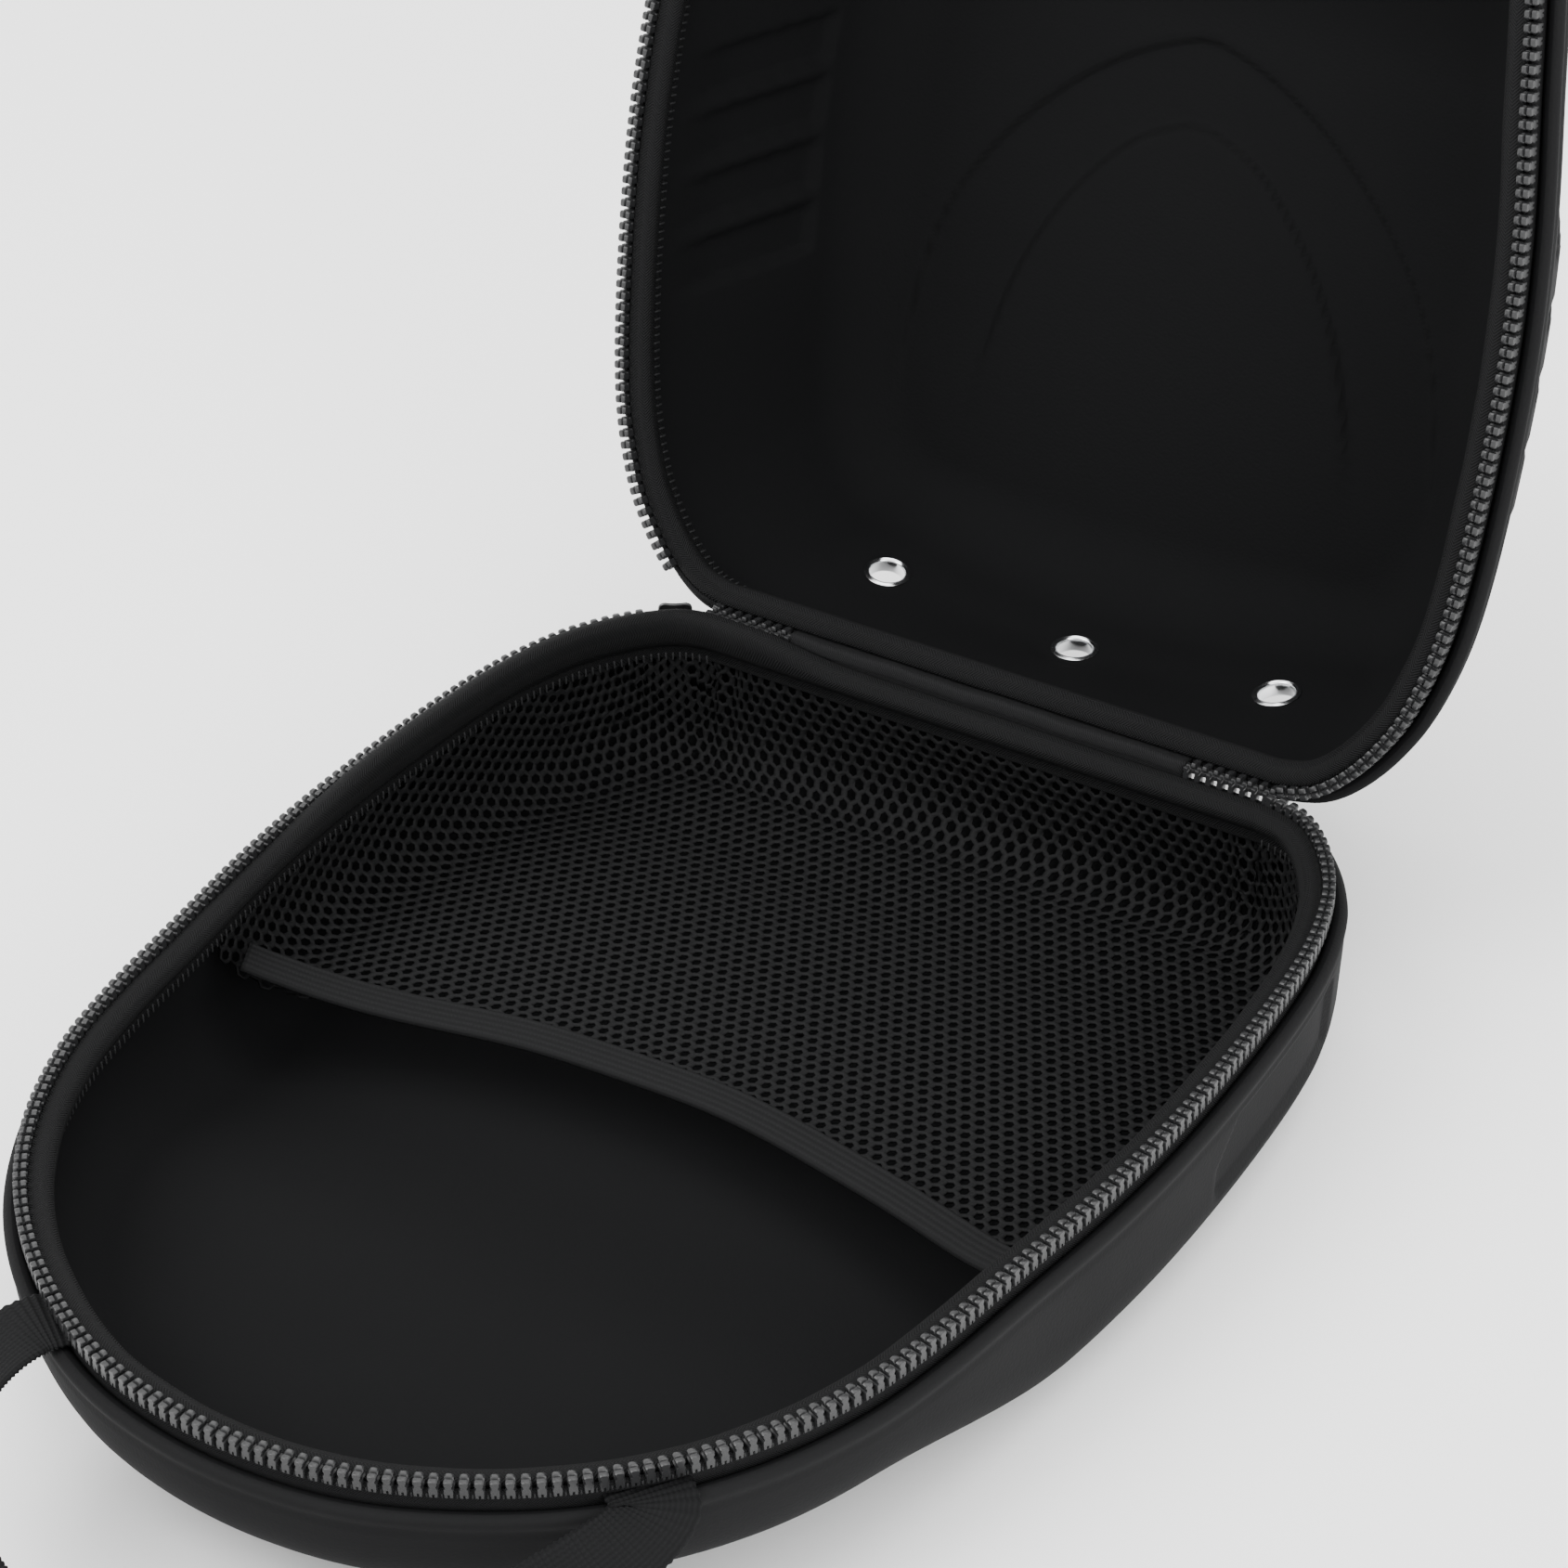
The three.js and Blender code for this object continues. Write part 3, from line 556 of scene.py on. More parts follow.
def rim_path(points, normals, closed=True):
    """The rim as a 3-D path with its outward direction and straight up."""
    if closed:
        points, normals = np.vstack([points, points[:1]]), np.vstack([normals, normals[:1]])
    path = np.column_stack([points, np.zeros(len(points))])
    out = np.column_stack([normals, np.zeros(len(points))])
    up = np.broadcast_to([0.0, 0.0, 1.0], path.shape)
    return path, out, up


def rounded(points, radius, steps=3):
    """A closed polygon with its corners rounded."""
    p = np.asarray(points, dtype=float)
    out = []
    for a, b, c in zip(np.roll(p, 1, axis=0), p, np.roll(p, -1, axis=0)):
        u, v = a - b, c - b
        cut = min(radius, np.linalg.norm(u) * 0.45, np.linalg.norm(v) * 0.45)
        s, e = b + u / np.linalg.norm(u) * cut, b + v / np.linalg.norm(v) * cut
        for t in np.linspace(0, 1, steps + 1):
            out.append((1 - t) ** 2 * s + 2 * t * (1 - t) * b + t * t * e)
    return np.array(out)


# ---------- shells

RIM_POINTS, RIM_NORMALS = outline(500, 46)
RIM_COUNT = len(RIM_POINTS)

HOLE_DEPTH = 6.0                # an eyelet's hole is cut this far to both sides of the wall
GROMMETS = {"grommet_left": 1, "grommet_middle": 0, "grommet_right": -1}
GROMMET = {"bore": 4.6, "tube": 5.0, "flange": 6.3, "lip": 0.5, "spread": 0.189, "height": 47.0}


def grommet_frame(side):
    """Middle of an eyelet in the lid's back wall, its axis and two directions
    across it. A fine strip of the wall gives its place and slope."""
    x = side * GROMMET["spread"] * LENGTH
    at = np.linspace(-HALF_REAR, HALF_REAR, 241)
    points, normals = np.stack([at, 0 * at], axis=1), np.tile([0.0, 1.0], (len(at), 1))
    rows = [(1, w, 0, 0) for w in np.linspace(0, 1, 41)]
    wall = dish(LID, points, normals, OUTER_GROW - 1.6, SEAM_DROP, rows)

    def level(height, shift=0):
        line = [[np.interp(height, -wall[:, k, 2], wall[:, k, c]) for c in (0, 1)] for k in range(len(at))]
        return np.interp(x + shift, *np.array(line).T)

    height = GROMMET["height"]
    down = np.array([0, level(height + 4) - level(height - 4), -8.0])
    over = np.array([8.0, level(height, 4) - level(height, -4), 0])
    axis = np.cross(down, over)
    axis /= np.linalg.norm(axis) * (1 if axis[1] > 0 else -1)
    u = np.cross(axis, [0, 0, 1.0])
    u /= np.linalg.norm(u)
    return np.array([x, level(height), -height]), axis, u, np.cross(u, axis)


def shell(name, side, form, relief, outer_rows, inner_rows, replaces, slot):
    """One moulded shell: cloth outside, lining inside, with a rounded top edge
    that has a small pressed lip."""
    walls = outer_rows[0]
    points, normals = RIM_POINTS, RIM_NORMALS
    outer, outer_press = pressed(form, points, normals, OUTER_GROW, SEAM_DROP, rows_of(*outer_rows), relief)
    inner, inner_press = pressed(form, points, normals, INNER_GROW, SEAM_DROP, rows_of(*inner_rows), relief)
    # A pressed lip round the outer edge, and the rounded edge itself.
    lip = np.column_stack([normals, np.zeros(len(points))])
    for k, drop in enumerate(-SEAM_DROP - outer[:SEAM_STEPS + walls + 1, :, 2].mean(axis=1)):
        swell, groove = math.exp(-((drop - 1.0) / 1.1) ** 2), math.exp(-((drop - 3.4) / 0.9) ** 2)
        outer[k] += lip * (0.5 * swell - 0.25 * groove)
    edge = []
    for t in (0.25, 0.5, 0.75):
        ring = outer[0] * (1 - t) + inner[0] * t
        edge.append(ring + np.array([0, 0, 0.7]) * math.sin(math.pi * t) ** 0.7)
    rings = np.concatenate([outer[::-1], np.array(edge), inner])
    no_lines = np.full(len(edge) * RIM_COUNT, NO_LINE)
    groove_shade_distance = np.concatenate([outer_press[::-1].ravel(), no_lines, inner_press.ravel()])
    n = RIM_COUNT
    faces = grid(len(rings), n, close_columns=True)
    half_way = (len(outer) + 1) * n
    parts = [0 if f[0] < half_way else 1 for f in faces]
    # The narrow gap left along the middle line is closed from side to side.
    caps = []
    for ring, flip in ((0, False), (len(rings) - 1, True)):
        at = ring * n
        for i in range(n // 2):
            j = (n - i) % n
            quad = [at + i, at + i + 1, at + n - i - 1, at + j]
            quad = list(dict.fromkeys(quad))
            if len(quad) > 2:
                caps.append((quad if flip else quad[::-1], 1 if flip else 0))
    flat = rings.reshape(-1, 3)
    if side == "lid":
        centres = flat[np.array(faces)].mean(axis=1)
        keep = np.ones(len(faces), dtype=bool)
        for k in GROMMETS.values():
            centre, axis, _, _ = grommet_frame(k)
            keep &= hole_faces(centres, centre, axis)
            open_hole(flat, centre, axis)
        faces = [f for f, k in zip(faces, keep) if k]
        parts = [p for p, k in zip(parts, keep) if k]
    faces += [f for f, _ in caps]
    parts += [p for _, p in caps]
    obj = mesh_object(name, place(flat, side), faces, [SHELL_CLOTH, LINING], parts=parts)
    # The shells' material reads this distance to paint shade along the moulded lines.
    layer = obj.data.attributes.new("groove_shade_distance", "FLOAT", "POINT")
    layer.data.foreach_set("value", (groove_shade_distance * MM).astype(np.float32))
    dress(obj, side, slot, replaces)


def hole_faces(centres, centre, axis):
    """Which faces stay round an eyelet."""
    away = centres - centre
    along = away @ axis
    reach = np.linalg.norm(away - along[:, None] * axis, axis=1)
    return (reach > 1.5) | (np.abs(along) > HOLE_DEPTH)


def open_hole(flat, centre, axis, width=4.9, reach=12.0):
    """Pushes the points round an eyelet out of its way: the hole gets a radius
    of width, and nothing moves past reach."""
    away = flat - centre
    along = away @ axis
    side = away - along[:, None] * axis
    r = np.linalg.norm(side, axis=1)
    near = (r < reach) & (np.abs(along) < HOLE_DEPTH) & (r > 1e-6)
    new = width + (reach - width) * r[near] / reach
    flat[near] = centre + along[near, None] * axis + side[near] * (new / r[near])[:, None]


shell("base_case", "base", BASE, base_relief, (22, 12, 16), (22, 12, 16), "base_shell", "shell_cloth")
shell("lid_case", "lid", LID, lid_relief, (28, 12, 18), (32, 18, 36), "lid_shell", "shell_cloth")


# ---------- zip

def side_frames(at):
    """Places along the zip's side run, with outward and onward directions."""
    points = resample(SIDE, at)
    along = resample(SIDE, at + 0.5) - resample(SIDE, at - 0.5)
    along /= np.linalg.norm(along, axis=1)[:, None]
    out = np.stack([-along[:, 1], along[:, 0]], axis=1)
    return points, out, along


def tooth():
    """One moulded tooth: two legs on the tape, a body, a neck and a head with
    two lobes. Columns are along, out and up."""
    half = [(0.28, -3.5), (0.28, -4.3), (0.92, -4.3), (1.04, -3.3), (1.04, -2.2),
            (0.74, -1.9), (0.74, -1.35), (1.0, -1.0), (0.94, -0.5), (0.62, -0.25)]
    ring = np.array(half + [(-a, w) for a, w in half[::-1]])
    # Places outwards, each with the ring's scale and the groove between the lobes.
    stations = [(-1.45, 0.84, 0.0), (-1.2, 1.0, 0.0), (-0.35, 1.0, 0.0), (0.0, 1.0, 0.55),
                (0.35, 1.0, 0.0), (1.2, 1.0, 0.0), (1.45, 0.84, 0.0)]
    verts = []
    for out, scale, groove in stations:
        for a, w in ring:
            cut = groove if w > -0.6 else 0
            verts.append((a * scale, out, (w + 2.3) * (0.94 if scale < 1 else 1) - 2.3 - cut))
    count = len(ring)
    faces = grid(len(stations), count, close_columns=True)
    faces.append(list(range(count))[::-1])
    faces.append([(len(stations) - 1) * count + i for i in range(count)])
    return np.array(verts), faces


TOOTH, TOOTH_FACES = tooth()


def copies(shape, faces, points, out, along, scale=(1, 1, 1), lift=0.0):
    """Copies of a small shape (columns along, out, up) at places on the rim."""
    shape = shape * np.array(scale) + np.array([0, 0, lift])
    points, out, along = (np.column_stack([a, np.zeros(len(a))]) for a in (points, out, along))
    up = np.broadcast_to([0.0, 0.0, 1.0], points.shape)
    verts = points[:, None]
    for k, way in enumerate((along, out, up)):
        verts = verts + shape[None, :, k:k + 1] * way[:, None]
    all_faces = []
    for i in range(len(points)):
        base = i * len(shape)
        all_faces += [[base + v for v in f] for f in faces]
    return verts.reshape(-1, 3), all_faces


def joined(sets):
    """One mesh from several sets of points and faces."""
    verts, faces, start = [], [], 0
    for v, f in sets:
        verts.append(v)
        faces += [[start + i for i in face] for face in f]
        start += len(v)
    return np.vstack(verts), faces


def chain_end(sign):
    """The closed stretch of chain along the hinge, from one corner inwards."""
    count = int(round((HALF_REAR - CHAIN_END) / TOOTH_PITCH))
    x = sign * (CHAIN_END + (np.arange(count) + 0.25) * TOOTH_PITCH)
    points = np.stack([x, 0 * x], axis=1)
    out = np.tile([0.0, 1.0], (count, 1))
    along = np.tile([-1.0, 0.0], (count, 1))
    return points, out, along


def teeth(side):
    """A row of teeth along the rim's side, and the closed stretches of chain at
    both hinge corners."""
    count = int(round(SIDE_LENGTH / TOOTH_PITCH))
    pitch = SIDE_LENGTH / count
    at = (np.arange(count) + 0.25) * pitch
    # The slider takes the place of a few teeth near its corner.
    corner = SIDE_LENGTH - at if side == "base" else at
    at = at[(corner > 17.5) | (corner < 3)]
    sets = [copies(TOOTH, TOOTH_FACES, *side_frames(at))]
    for sign in (1, -1):
        points, out, along = chain_end(sign)
        if side == "lid":
            points = points + np.array([sign * TOOTH_PITCH / 2, 0])
        sets.append(copies(TOOTH, TOOTH_FACES, points, out, along, scale=(0.66, 0.9, 1), lift=0.62))
    verts, faces = joined(sets)
    obj = mesh_object(side + "_teeth", place(verts, side), faces, [TEETH])
    sharp_edges(obj, 35)
    dress(obj, side, "zip_teeth", side + "_zipper_teeth")


def small_bar(width, thick, low, high):
    """A short upright stitch, rounded on its outer face."""
    w, t = width / 2, thick
    ring = [(-w, 0), (-w * 0.8, t * 0.75), (0, t), (w * 0.8, t * 0.75), (w, 0)]
    heights = [(low, 0.4), (low + 0.25, 1), (high - 0.25, 1), (high, 0.4)]
    verts = [(a, o * s, h) for h, s in heights for a, o in ring]
    faces = grid(len(heights), len(ring), close_columns=True)
    faces += [list(range(5))[::-1], [15 + i for i in range(5)]]
    return np.array(verts), faces


def bars(name, side, shape, pitch, offset, slot, face=1):
    """A row of stitches along the rim's side, out from the zip line by offset.
    face turns them outwards, or inwards where it is -1."""
    points, out, along = side_frames(np.arange(pitch / 2, SIDE_LENGTH, pitch))
    points = points + out * offset
    verts, faces = copies(shape[0] * [1, face, 1], shape[1], points, out, along)
    if face > 0:
        faces = [f[::-1] for f in faces]
    strip = np.column_stack([verts[:, 0] + verts[:, 1], verts[:, 2], 0 * verts[:, 2]]) * MM
    obj = mesh_object(name, place(verts, side), faces, [STITCH], strip)
    dress(obj, side, slot)


def tape(side):
    """The woven tape from the teeth down inside the wall, all round but for
    the cloth hinge."""
    profile = rounded([(-0.6, -3.3), (0.6, -3.3), (0.1, -12.9), (-1.1, -12.9)], 0.35)
    points, normals = RIM_POINTS, RIM_NORMALS
    rear = (np.abs(points[:, 1]) < 1e-6) & (np.abs(points[:, 0]) < CHAIN_END - 0.5)
    order = np.roll(np.arange(RIM_COUNT), -int(np.sum(rear) // 2 + 1))
    order = order[~rear[order]]
    path, out, up = rim_path(points[order], normals[order], closed=False)
    obj = sweep(side + "_tape", path, out, up, profile, [TAPE], side)
    dress(obj, side, "zip_tape", side + "_zipper_tape")


def roll(side):
    """Binding inside the rim: a soft roll, and below it the flat edge that is
    overlocked down."""
    section = [(-1.1, -2.9), (-2.3, -2.35), (-4.0, -2.3), (-5.6, -2.9), (-6.7, -4.1), (-7.0, -5.4),
               (-6.5, -6.8), (-5.4, -8.0), (-4.2, -8.8), (-3.6, -9.5), (-3.5, -10.6), (-3.5, -12.3),
               (-3.3, -13.0), (-2.6, -13.1), (-2.0, -12.4), (-1.7, -10.5), (-1.4, -8.0), (-1.2, -5.5)]
    profile = rounded(section, 0.5, 1)
    path, out, up = rim_path(RIM_POINTS, RIM_NORMALS)
    # The roll swells and sinks a little between its stitches.
    run = lengths(path)
    count = round(run[-1] / 46)
    phase = 2 * math.pi * run / run[-1]
    swell = 0.12 * np.sin(count * phase) + 0.08 * np.sin((2 * count + 1) * phase)
    middle = profile.mean(axis=0)
    shaped = middle + (profile[None] - middle) * (1 + 0.1 * swell[:, None, None])
    if side == "base":
        # Towards the hinge on the left the binding is pushed up past the teeth.
        back = -path[:, 1] / LENGTH
        pushed = smooth((0.5 - back) / 0.2) * smooth((-path[:, 0] / LENGTH - 0.12) / 0.1)
        crest = smooth((shaped[..., 1] + 6.5) / 4.2)
        shaped = shaped + np.stack([-0.9 * crest, 4.0 * crest], axis=-1) * pushed[:, None, None]
    obj = sweep(side + "_binding", path, out, up, shaped, [BINDING], side, ends=False)
    dress(obj, side, "rim_binding", side + "_rim_roll")


for part in ("base", "lid"):
    teeth(part)
    tape(part)
    roll(part)
    stitch = small_bar(0.5, 0.34, -5.1, -3.9)
    overlock = small_bar(0.55, 0.35, -13.6, -11.2)
    bars(part + "_ladder_out", part, stitch, 1.0, 0.5, "zip_tape")
    bars(part + "_ladder_in", part, stitch, 1.0, -0.65, "zip_tape", face=-1)
    bars(part + "_overlock", part, overlock, 2.1, -3.4, "rim_binding", face=-1)


# ---------- hinge cloth

def hinge_cloth():
    """One strip of twill sewn inside both back walls, over the turning line."""
    base_side = [(-0.5 + 0.04 * k, -11.4 + 1.5 * k) for k in range(7)]
    fold = [(-0.35, -1.6), (-0.1, -0.7), (0.45, 0.1)]
    c, s = math.cos(OPEN_ANGLE), math.sin(OPEN_ANGLE)
    lid_side = [(y * c - z * s, -z * c - y * s) for y, z in reversed(base_side + fold[:1])]
    line = spline(base_side + fold + lid_side, 3)
    along = np.gradient(line, axis=0)
    along /= np.linalg.norm(along, axis=1)[:, None]
    normal = np.stack([-along[:, 1], along[:, 0]], axis=1)
    xs = np.linspace(-CHAIN_END, CHAIN_END, 81)
    faces, sheets, strips = [], [], []
    run = lengths(line)
    ripple = 0.18 * np.sin(xs / 5.3) + 0.1 * np.sin(xs / 2.2 + 1)
    for k, thick in enumerate((-0.55, 0.55)):
        yz = line + normal * thick
        wave = np.exp(-((run - run[-1] / 2) / 4) ** 2)[:, None] * ripple[None]
        pts = np.zeros((len(line), len(xs), 3))
        pts[..., 0] = xs
        pts[..., 1] = yz[:, :1]
        pts[..., 2] = yz[:, 1:] + wave
        sheets.append(pts.reshape(-1, 3))
        along_cloth, across_cloth = np.broadcast_arrays(xs, run[:, None])
        strip = np.stack([along_cloth, across_cloth, 0 * along_cloth], axis=-1)
        strips.append(strip.reshape(-1, 3) * MM)
        quads = grid(len(line), len(xs), start=k * len(sheets[0]))
        faces += [q[::-1] for q in quads] if k else quads
    rows, cols = len(line), len(xs)
    loop = [i for i in range(cols)] + [r * cols + cols - 1 for r in range(1, rows)]
    loop += [(rows - 1) * cols + i for i in range(cols - 2, -1, -1)]
    loop += [r * cols for r in range(rows - 2, 0, -1)]
    size = rows * cols
    for a, b in zip(loop, loop[1:] + loop[:1]):
        faces.append([a, b, b + size, a + size][::-1])
    obj = mesh_object("hinge_cloth", place(np.vstack(sheets), "base"), faces, [TAPE], np.vstack(strips))
    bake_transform(obj)
    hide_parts("base_hinge_cloth", "lid_hinge_cloth")


hinge_cloth()


# ---------- net and band

NET_FORM = dict(BASE, lift=(0.12, 0.52, 15.0))
NET_GROW = -2.6
NET_TOP = 8.5
NET_FRONT = (0.427, 0.521)
NET_PITCH, NET_HOLE = 3.76, 3.0
NET_ROWS = 1.7                  # two rows of holes over the pitch across
BAND_WIDTH = 9.0
BAND_REACH = 0.352 * LENGTH


def front_edge(x):
    """The net's free front edge, bowed towards the hinge."""
    share = np.asarray(x) / (0.36 * LENGTH)
    return -LENGTH * (NET_FRONT[0] + (NET_FRONT[1] - NET_FRONT[0]) * share**2)


def net_surface():
    """Turns places on the flat net into places in the base: the floor is the
    plan itself, and what lies beyond its edge goes up the corner and wall."""
    form = NET_FORM
    points, normals = RIM_POINTS, RIM_NORMALS
    inward = NET_GROW - OUTER_GROW
    rows = [(1, 1, 1 - t, 0) for t in np.linspace(0, 1, 13)]
    rows += [(1, w, 0, 0) for w in np.linspace(1, 0, 9)[1:]]
    rows += [(s, 0, 0, 0) for s in np.linspace(1, 0, 5)[1:]]
    rings = dish(form, points, normals, NET_GROW, NET_TOP, rows)
    foot = rings[0][:, :2]
    steps = np.linalg.norm(np.diff(rings, axis=0), axis=2)
    climb = np.concatenate([np.zeros((1, RIM_COUNT)), np.cumsum(steps, axis=0)])

    def lift(flat):
        out = np.zeros((len(flat), 3))
        good = np.ones(len(flat), dtype=bool)
        for start in range(0, len(flat), 4000):
            p = flat[start:start + 4000]
            near = np.argmin(((p[:, None] - foot[None]) ** 2).sum(axis=2), axis=1)
            away = ((p - foot[near]) * normals[near]).sum(axis=1)
            z = -(depth_at(form, p[:, 1]) + inward)
            q = np.column_stack([p, z])
            for i in np.nonzero(away > 0)[0]:
                k, d = near[i], away[i]
                if d > climb[-1, k]:
                    good[start + i] = False
                    d = climb[-1, k]
                slide = np.array([-normals[k, 1], normals[k, 0]])
                off = (p[i] - foot[k]) @ slide
                q[i] = [np.interp(d, climb[:, k], rings[:, k, c]) for c in range(3)]
                q[i, :2] += slide * off
            out[start:start + 4000] = q
        return out, good

    return lift


def hex_net(pitch, hole):
    """A sheet of staggered oval holes: for each one, a ring of web that meets
    its neighbours' rings."""
    dx, dy = pitch, pitch * NET_ROWS
    xs = np.arange(-46, 47) * dx
    ys = -np.arange(-22, 110) * dy * 0.5
    centres = []
    for j, y in enumerate(ys):
        shift = dx / 2 if j % 2 else 0
        centres += [(x + shift, y) for x in xs]
    centres = np.array(centres)
    # The web between six neighbours is a hexagon round each hole.
    hexagon = np.array([(0, 2 / 3), (0.5, 1 / 3), (0.5, -1 / 3), (0, -2 / 3), (-0.5, -1 / 3), (-0.5, 1 / 3)])
    hexagon = hexagon * [dx, dy * 0.5]
    turns = np.arange(6) * math.pi / 3
    rim = np.stack([np.sin(turns) * hole * 0.82, np.cos(turns) * hole * 1.05], axis=1) / 2
    return centres, hexagon, rim


def net():
    lift = net_surface()
    pitch = NET_PITCH
    centres, hexagon, rim = hex_net(pitch, NET_HOLE)
    keep = centres[:, 1] > front_edge(centres[:, 0]) - 4
    _, good = lift(centres)
    centres = centres[keep & good]
    count = len(centres)
    outer = centres[:, None] + hexagon[None]
    inner = centres[:, None] + rim[None]
    top_outer, _ = lift(outer.reshape(-1, 2))
    top_inner, _ = lift(inner.reshape(-1, 2))
    middle, _ = lift(centres)
    edge_x, _ = lift(centres + [0.3, 0])
    edge_y, _ = lift(centres + [0, 0.3])
    normal = np.cross(edge_x - middle, edge_y - middle)
    normal /= np.maximum(np.linalg.norm(normal, axis=1), 1e-9)[:, None]
    face = np.repeat(normal, 6, axis=0)
    # Cells that meet at a corner of the web have one direction there.
    corners = np.round(outer.reshape(-1, 2) * 1000).astype(int)
    _, corner = np.unique(corners, axis=0, return_inverse=True)
    corner = corner.reshape(-1)
    shared = np.zeros((corner.max() + 1, 3))
    np.add.at(shared, corner, face)
    shared /= np.linalg.norm(shared, axis=1)[:, None]
    web = shared[corner]
    # Four rings for each hole: web crest, hole rim above, hole rim below, web below.
    crest = top_outer + web * 0.35
    above = top_inner + face * 0.15
    below = top_inner - face * 0.45
    under = top_outer - web * 0.55
    rings = np.stack([crest, above, below, under]).reshape(4, count, 6, 3).transpose(1, 0, 2, 3)
    faces = []
    cell = grid(4, 6, close_columns=True)
    for i in range(count):
        faces += [[i * 24 + v for v in f] for f in cell]
    # Where a web has no neighbour, its edge is closed.
    mids = np.round((outer + np.roll(outer, -1, axis=1)).reshape(-1, 2) * 500).astype(int)
    _, where, found = np.unique(mids, axis=0, return_inverse=True, return_counts=True)
    alone = found[where.reshape(-1)].reshape(count, 6) == 1
    for i, k in zip(*np.nonzero(alone)):
        a, b = i * 24 + k, i * 24 + (k + 1) % 6
        faces.append([b, a, a + 18, b + 18])
    obj = mesh_object("mesh_net", place(rings.reshape(-1, 3), "base"), faces, [NET])
    merge(obj, 0.00003)
    dress(obj, "base", "mesh", "mesh_pocket")


def merge(obj, distance):
    """Joins points that lie on each other."""
    bm = bmesh.new()
    bm.from_mesh(obj.data)
    bmesh.ops.remove_doubles(bm, verts=bm.verts, dist=distance)
    bmesh.ops.recalc_face_normals(bm, faces=bm.faces)
    bm.to_mesh(obj.data)
    bm.free()
    obj.data.polygons.foreach_set("use_smooth", [True] * len(obj.data.polygons))


net()


def band():
    """Ribbed elastic over the net's free edge, from wall to wall."""
    xs = np.linspace(-BAND_REACH, BAND_REACH, 161)
    y = front_edge(xs) - 0.3 - BAND_WIDTH / 2
    rise = 10 * (xs / BAND_REACH) ** 6
    z = -depth_at(NET_FORM, y) + OUTER_GROW + 2.0 + 0.6 + rise
    path = np.column_stack([xs, y, z + 0.25 * np.sin(xs / 9)])
    along = np.gradient(path, axis=0)
    along /= np.linalg.norm(along, axis=1)[:, None]
    wide = np.cross([0, 0, 1.0], along)
    wide /= np.linalg.norm(wide, axis=1)[:, None]
    face = np.cross(along, wide)
    tip = math.radians(8)
    c, s = math.cos(tip), math.sin(tip)
    wide, face = wide * c + face * s, face * c - wide * s
    w = BAND_WIDTH / 2
    profile = rounded([(-w, -0.75), (w, -0.75), (w, 0.75), (-w, 0.75)], 0.7)
    obj = sweep("pocket_band", path, wide, face, profile, [ELASTIC], "base")
    dress(obj, "base", "elastic", "pocket_edge_band")


band()


# ---------- handle

STRAP_PATH = np.array([
    (-0.160, 0.950, 6.3, 0), (-0.178, 0.982, 6.3, 0), (-0.178, 1.044, 10.5, 25), (-0.124, 1.118, 16.0, 62),
    (-0.026, 1.157, 20.0, 84), (0.066, 1.148, 21.5, 88), (0.152, 1.098, 21.0, 80), (0.238, 1.010, 16.5, 52),
    (0.289, 0.897, 6.3, 0), (0.263, 0.873, 6.3, 0),
])


def centripetal(points, count):
    """A centripetal Catmull-Rom curve and its tangents, evenly in its parameter."""
    p = np.vstack([2 * points[0] - points[1], points, 2 * points[-1] - points[-2]])
    t = np.linspace(0, len(points) - 1, count)
    seg = np.minimum(t.astype(int), len(points) - 2)
    w = (t - seg)[:, None]
    x0, x1, x2, x3 = (p[seg + k] for k in range(4))
    pairs = ((x0, x1), (x1, x2), (x2, x3))
    d0, d1, d2 = (np.sqrt(np.linalg.norm(b - a, axis=1))[:, None] for a, b in pairs)
    t1 = ((x1 - x0) / d0 - (x2 - x0) / (d0 + d1) + (x2 - x1) / d1) * d1
    t2 = ((x2 - x1) / d1 - (x3 - x1) / (d1 + d2) + (x3 - x2) / d2) * d1
    c2, c3 = -3 * x1 + 3 * x2 - 2 * t1 - t2, 2 * x1 - 2 * x2 + t1 + t2
    return x1 + t1 * w + c2 * w**2 + c3 * w**3, t1 + 2 * c2 * w + 3 * c3 * w**2, t


def handle():
    """Webbing with ribs across it and scalloped edges."""
    rows = np.column_stack([STRAP_PATH[:, 0] * LENGTH, -STRAP_PATH[:, 1] * LENGTH, -STRAP_PATH[:, 2]])
    path, tangent, t = centripetal(rows, 4001)
    run = lengths(path)
    pitch, steps = 1.45, 5
    at = np.arange(0, run[-1], pitch / steps)
    centre = resample(path, at)
    along = np.stack([np.interp(at, run, tangent[:, k]) for k in range(3)], axis=1)
    along /= np.linalg.norm(along, axis=1)[:, None]
    turn = np.radians(np.interp(np.interp(at, run, t), np.arange(len(STRAP_PATH)), STRAP_PATH[:, 3]))[:, None]
    level = np.cross([0, 0, 1.0], along)
    level /= np.linalg.norm(level, axis=1)[:, None]
    face0 = np.cross(along, level)
    wide = level * np.cos(turn) + face0 * np.sin(turn)
    face = face0 * np.cos(turn) - level * np.sin(turn)
    rib = 0.5 + 0.5 * np.cos(2 * math.pi * at / pitch)
    flat = np.linspace(-8.2, 8.2, 13)
    profile = [(w, 0.62) for w in flat] + [(8.8, 0.42), (9.0, 0.0), (8.8, -0.42)]
    profile += [(-w, -h) for w, h in profile]
    profile = np.array(profile[::-1])
    shaped = profile[None] * np.stack([1 - 0.035 * (1 - rib), 0.85 + 0.42 * rib], axis=1)[:, None]
    obj = sweep("handle_webbing", centre, wide, face, shaped, [WEBBING], "base")
    dress(obj, "base", "webbing", "handle_strap")


handle()


# ---------- metal

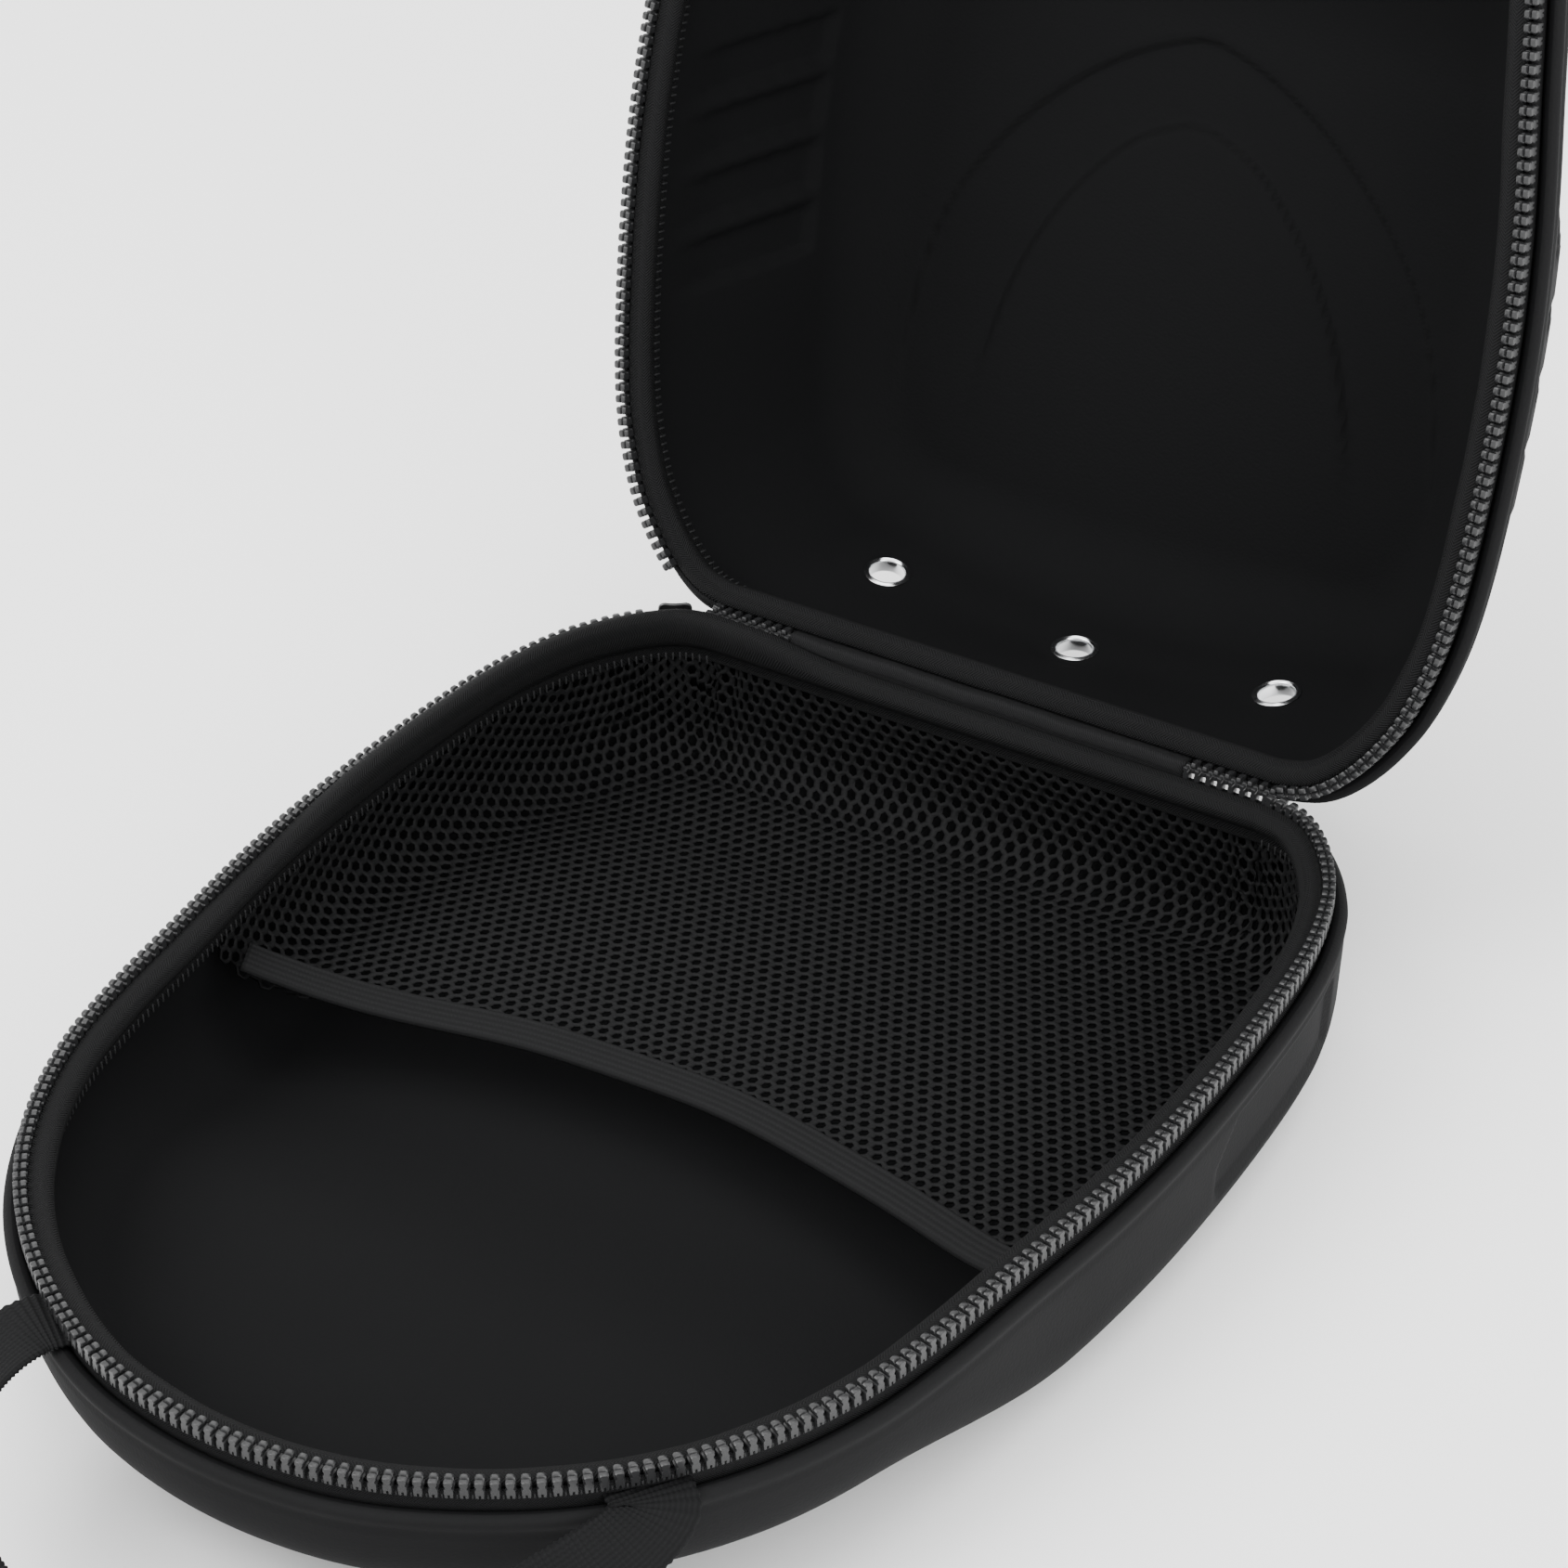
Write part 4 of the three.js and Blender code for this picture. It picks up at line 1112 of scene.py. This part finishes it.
def eyelets():
    """A pressed ring in each hole of the lid's back wall."""
    bore, tube, flange, lip = (GROMMET[key] for key in ("bore", "tube", "flange", "lip"))
    half = 1.6
    # Radius and place along the axis, for the half on one face of the wall.
    face = [(bore, half + lip * 0.4), (bore + 0.9, half + lip + 0.15), (flange - 1.2, half + lip),
            (flange, half + 0.1), (flange - 0.7, half - 0.2), (tube, half - 0.2)]
    profile = rounded([(r, -a) for r, a in face] + face[::-1], 0.4, 2)
    angles = np.linspace(0, 2 * math.pi, 56, endpoint=False)
    for name, k in GROMMETS.items():
        centre, axis, u, v = grommet_frame(k)
        spokes = np.cos(angles)[:, None] * u + np.sin(angles)[:, None] * v
        verts = centre + profile[None, :, :1] * spokes[:, None] + profile[None, :, 1:] * axis
        faces = grid(len(angles), len(profile), close_columns=True, close_rows=True)
        obj = mesh_object(name + "_ring", place(verts.reshape(-1, 3), "lid"), faces, [NICKEL])
        sharp_edges(obj, 50)
        dress(obj, "lid", "eyelet_metal", name)


eyelets()


def plate(outline_points, low, high, bevel=0.35):
    """A flat plate with a bevelled edge; columns are along, out and up."""
    o = np.asarray(outline_points, dtype=float)
    middle = o.mean(axis=0)
    d = o - middle
    r = np.maximum(np.linalg.norm(d, axis=1)[:, None], 1e-6)
    levels = ((bevel, low), (0, low + bevel), (0, high - bevel), (bevel, high))
    n = len(o)
    rings = np.array([np.column_stack([middle + d * (1 - cut / r), np.full(n, h)]) for cut, h in levels])
    faces = grid(4, n, close_columns=True) + [list(range(n))[::-1], [3 * n + i for i in range(n)]]
    return rings.reshape(-1, 3), faces


SLIDER_SCALE = (0.9, 0.8, 0.73)
SLIDER_OUT, SLIDER_DROP = 2.1, 3.4


def slider():
    """The slider: two waisted plates, the post between them, a bridge and a pull."""
    points, out, along = side_frames(np.array([SIDE_LENGTH - 11.4]))
    t = np.linspace(0, 2 * math.pi, 40, endpoint=False)
    waist = 1 - 0.16 * np.exp(-np.cos(t) ** 2 / 0.08)
    long = 4.9 * np.sign(np.cos(t)) * np.abs(np.cos(t)) ** 0.5
    tall = 3.3 * waist * np.sign(np.sin(t)) * np.abs(np.sin(t)) ** 0.6
    body = np.stack([long, tall], axis=1)
    sets = []
    # Plates stand upright, one each side of the chain: swap up and out.
    for low_out, high_out in ((-3.1, -1.9), (1.9, 3.1)):
        verts, faces = plate(body, low_out, high_out)
        sets.append((verts[:, [0, 2, 1]], [f[::-1] for f in faces]))
    post, post_faces = plate(np.array([(-2.5, -1), (2.5, -1), (2.5, 1), (-2.5, 1)]), -2.2, 2.2, 0.2)
    sets.append((post[:, [0, 2, 1]] - [1.0, 0, 0], [f[::-1] for f in post_faces]))
    arc = np.linspace(0, math.pi, 13)
    bridge_path = np.stack([3.4 * np.cos(arc), 3.0 + 2.0 * np.sin(arc), 0 * arc], axis=1)
    ring = np.array([(0.55 * math.cos(a), 1.1 * math.sin(a)) for a in np.arange(8) * math.pi / 4])
    tangent = np.gradient(bridge_path, axis=0)
    tangent /= np.linalg.norm(tangent, axis=1)[:, None]
    side_way = np.stack([-tangent[:, 1], tangent[:, 0], 0 * arc], axis=1)
    upright = np.array([0, 0, 1.0])
    verts = bridge_path[:, None] + ring[None, :, :1] * side_way[:, None] + ring[None, :, 1:] * upright
    bridge_faces = grid(13, 8, close_columns=True) + [list(range(8)), [96 + i for i in range(8)][::-1]]
    sets.append((verts.reshape(-1, 3), bridge_faces))
    pull = np.array([(-1.6, 1.2), (1.6, 1.2), (2.5, -2), (2.5, -15), (1.7, -17.6), (-1.7, -17.6),
                     (-2.5, -15), (-2.5, -2)])
    verts, faces = plate(rounded(pull, 0.8, 3), 3.35, 4.75, 0.3)
    sets.append((verts[:, [0, 2, 1]], [f[::-1] for f in faces]))
    shape, faces = joined(sets)
    points = points + out * SLIDER_OUT
    verts, faces = copies(shape, faces, points, out, along, SLIDER_SCALE, -SLIDER_DROP)
    obj = mesh_object("slider", place(verts, "base"), faces, [SLIDER])
    merge(obj, 0.00001)
    sharp_edges(obj, 30)
    dress(obj, "base", "slider_metal", "zipper_slider")


slider()


# ---------- stage

def stage():
    """A pale floor, a white surrounding and three soft lamps."""
    floor = mesh_object("floor", [(-4, -4, 0), (4, -4, 0), (4, 4, 0), (-4, 4, 0)], [[0, 1, 2, 3]], [FLOOR])
    world = bpy.data.worlds.new("studio")
    world.use_nodes = True
    background = world.node_tree.nodes["Background"]
    background.inputs["Color"].default_value = (1, 1, 1, 1)
    background.inputs["Strength"].default_value = 2.3
    bpy.context.scene.world = world
    for name, at, size, power in (
        ("key", (-0.9, -1.1, 1.7), 1.4, 30),
        ("fill", (1.6, -0.9, 0.8), 1.2, 16),
        ("top", (0.2, 0.2, 2.0), 1.6, 16),
    ):
        data = bpy.data.lights.new(name, "AREA")
        data.shape = "DISK"
        data.size = size
        data.energy = power
        light = bpy.data.objects.new(name, data)
        bpy.context.scene.collection.objects.link(light)
        light.location = at
        light.rotation_euler = (Vector((0, 0, 0.12)) - Vector(at)).to_track_quat("-Z", "Y").to_euler()


stage()
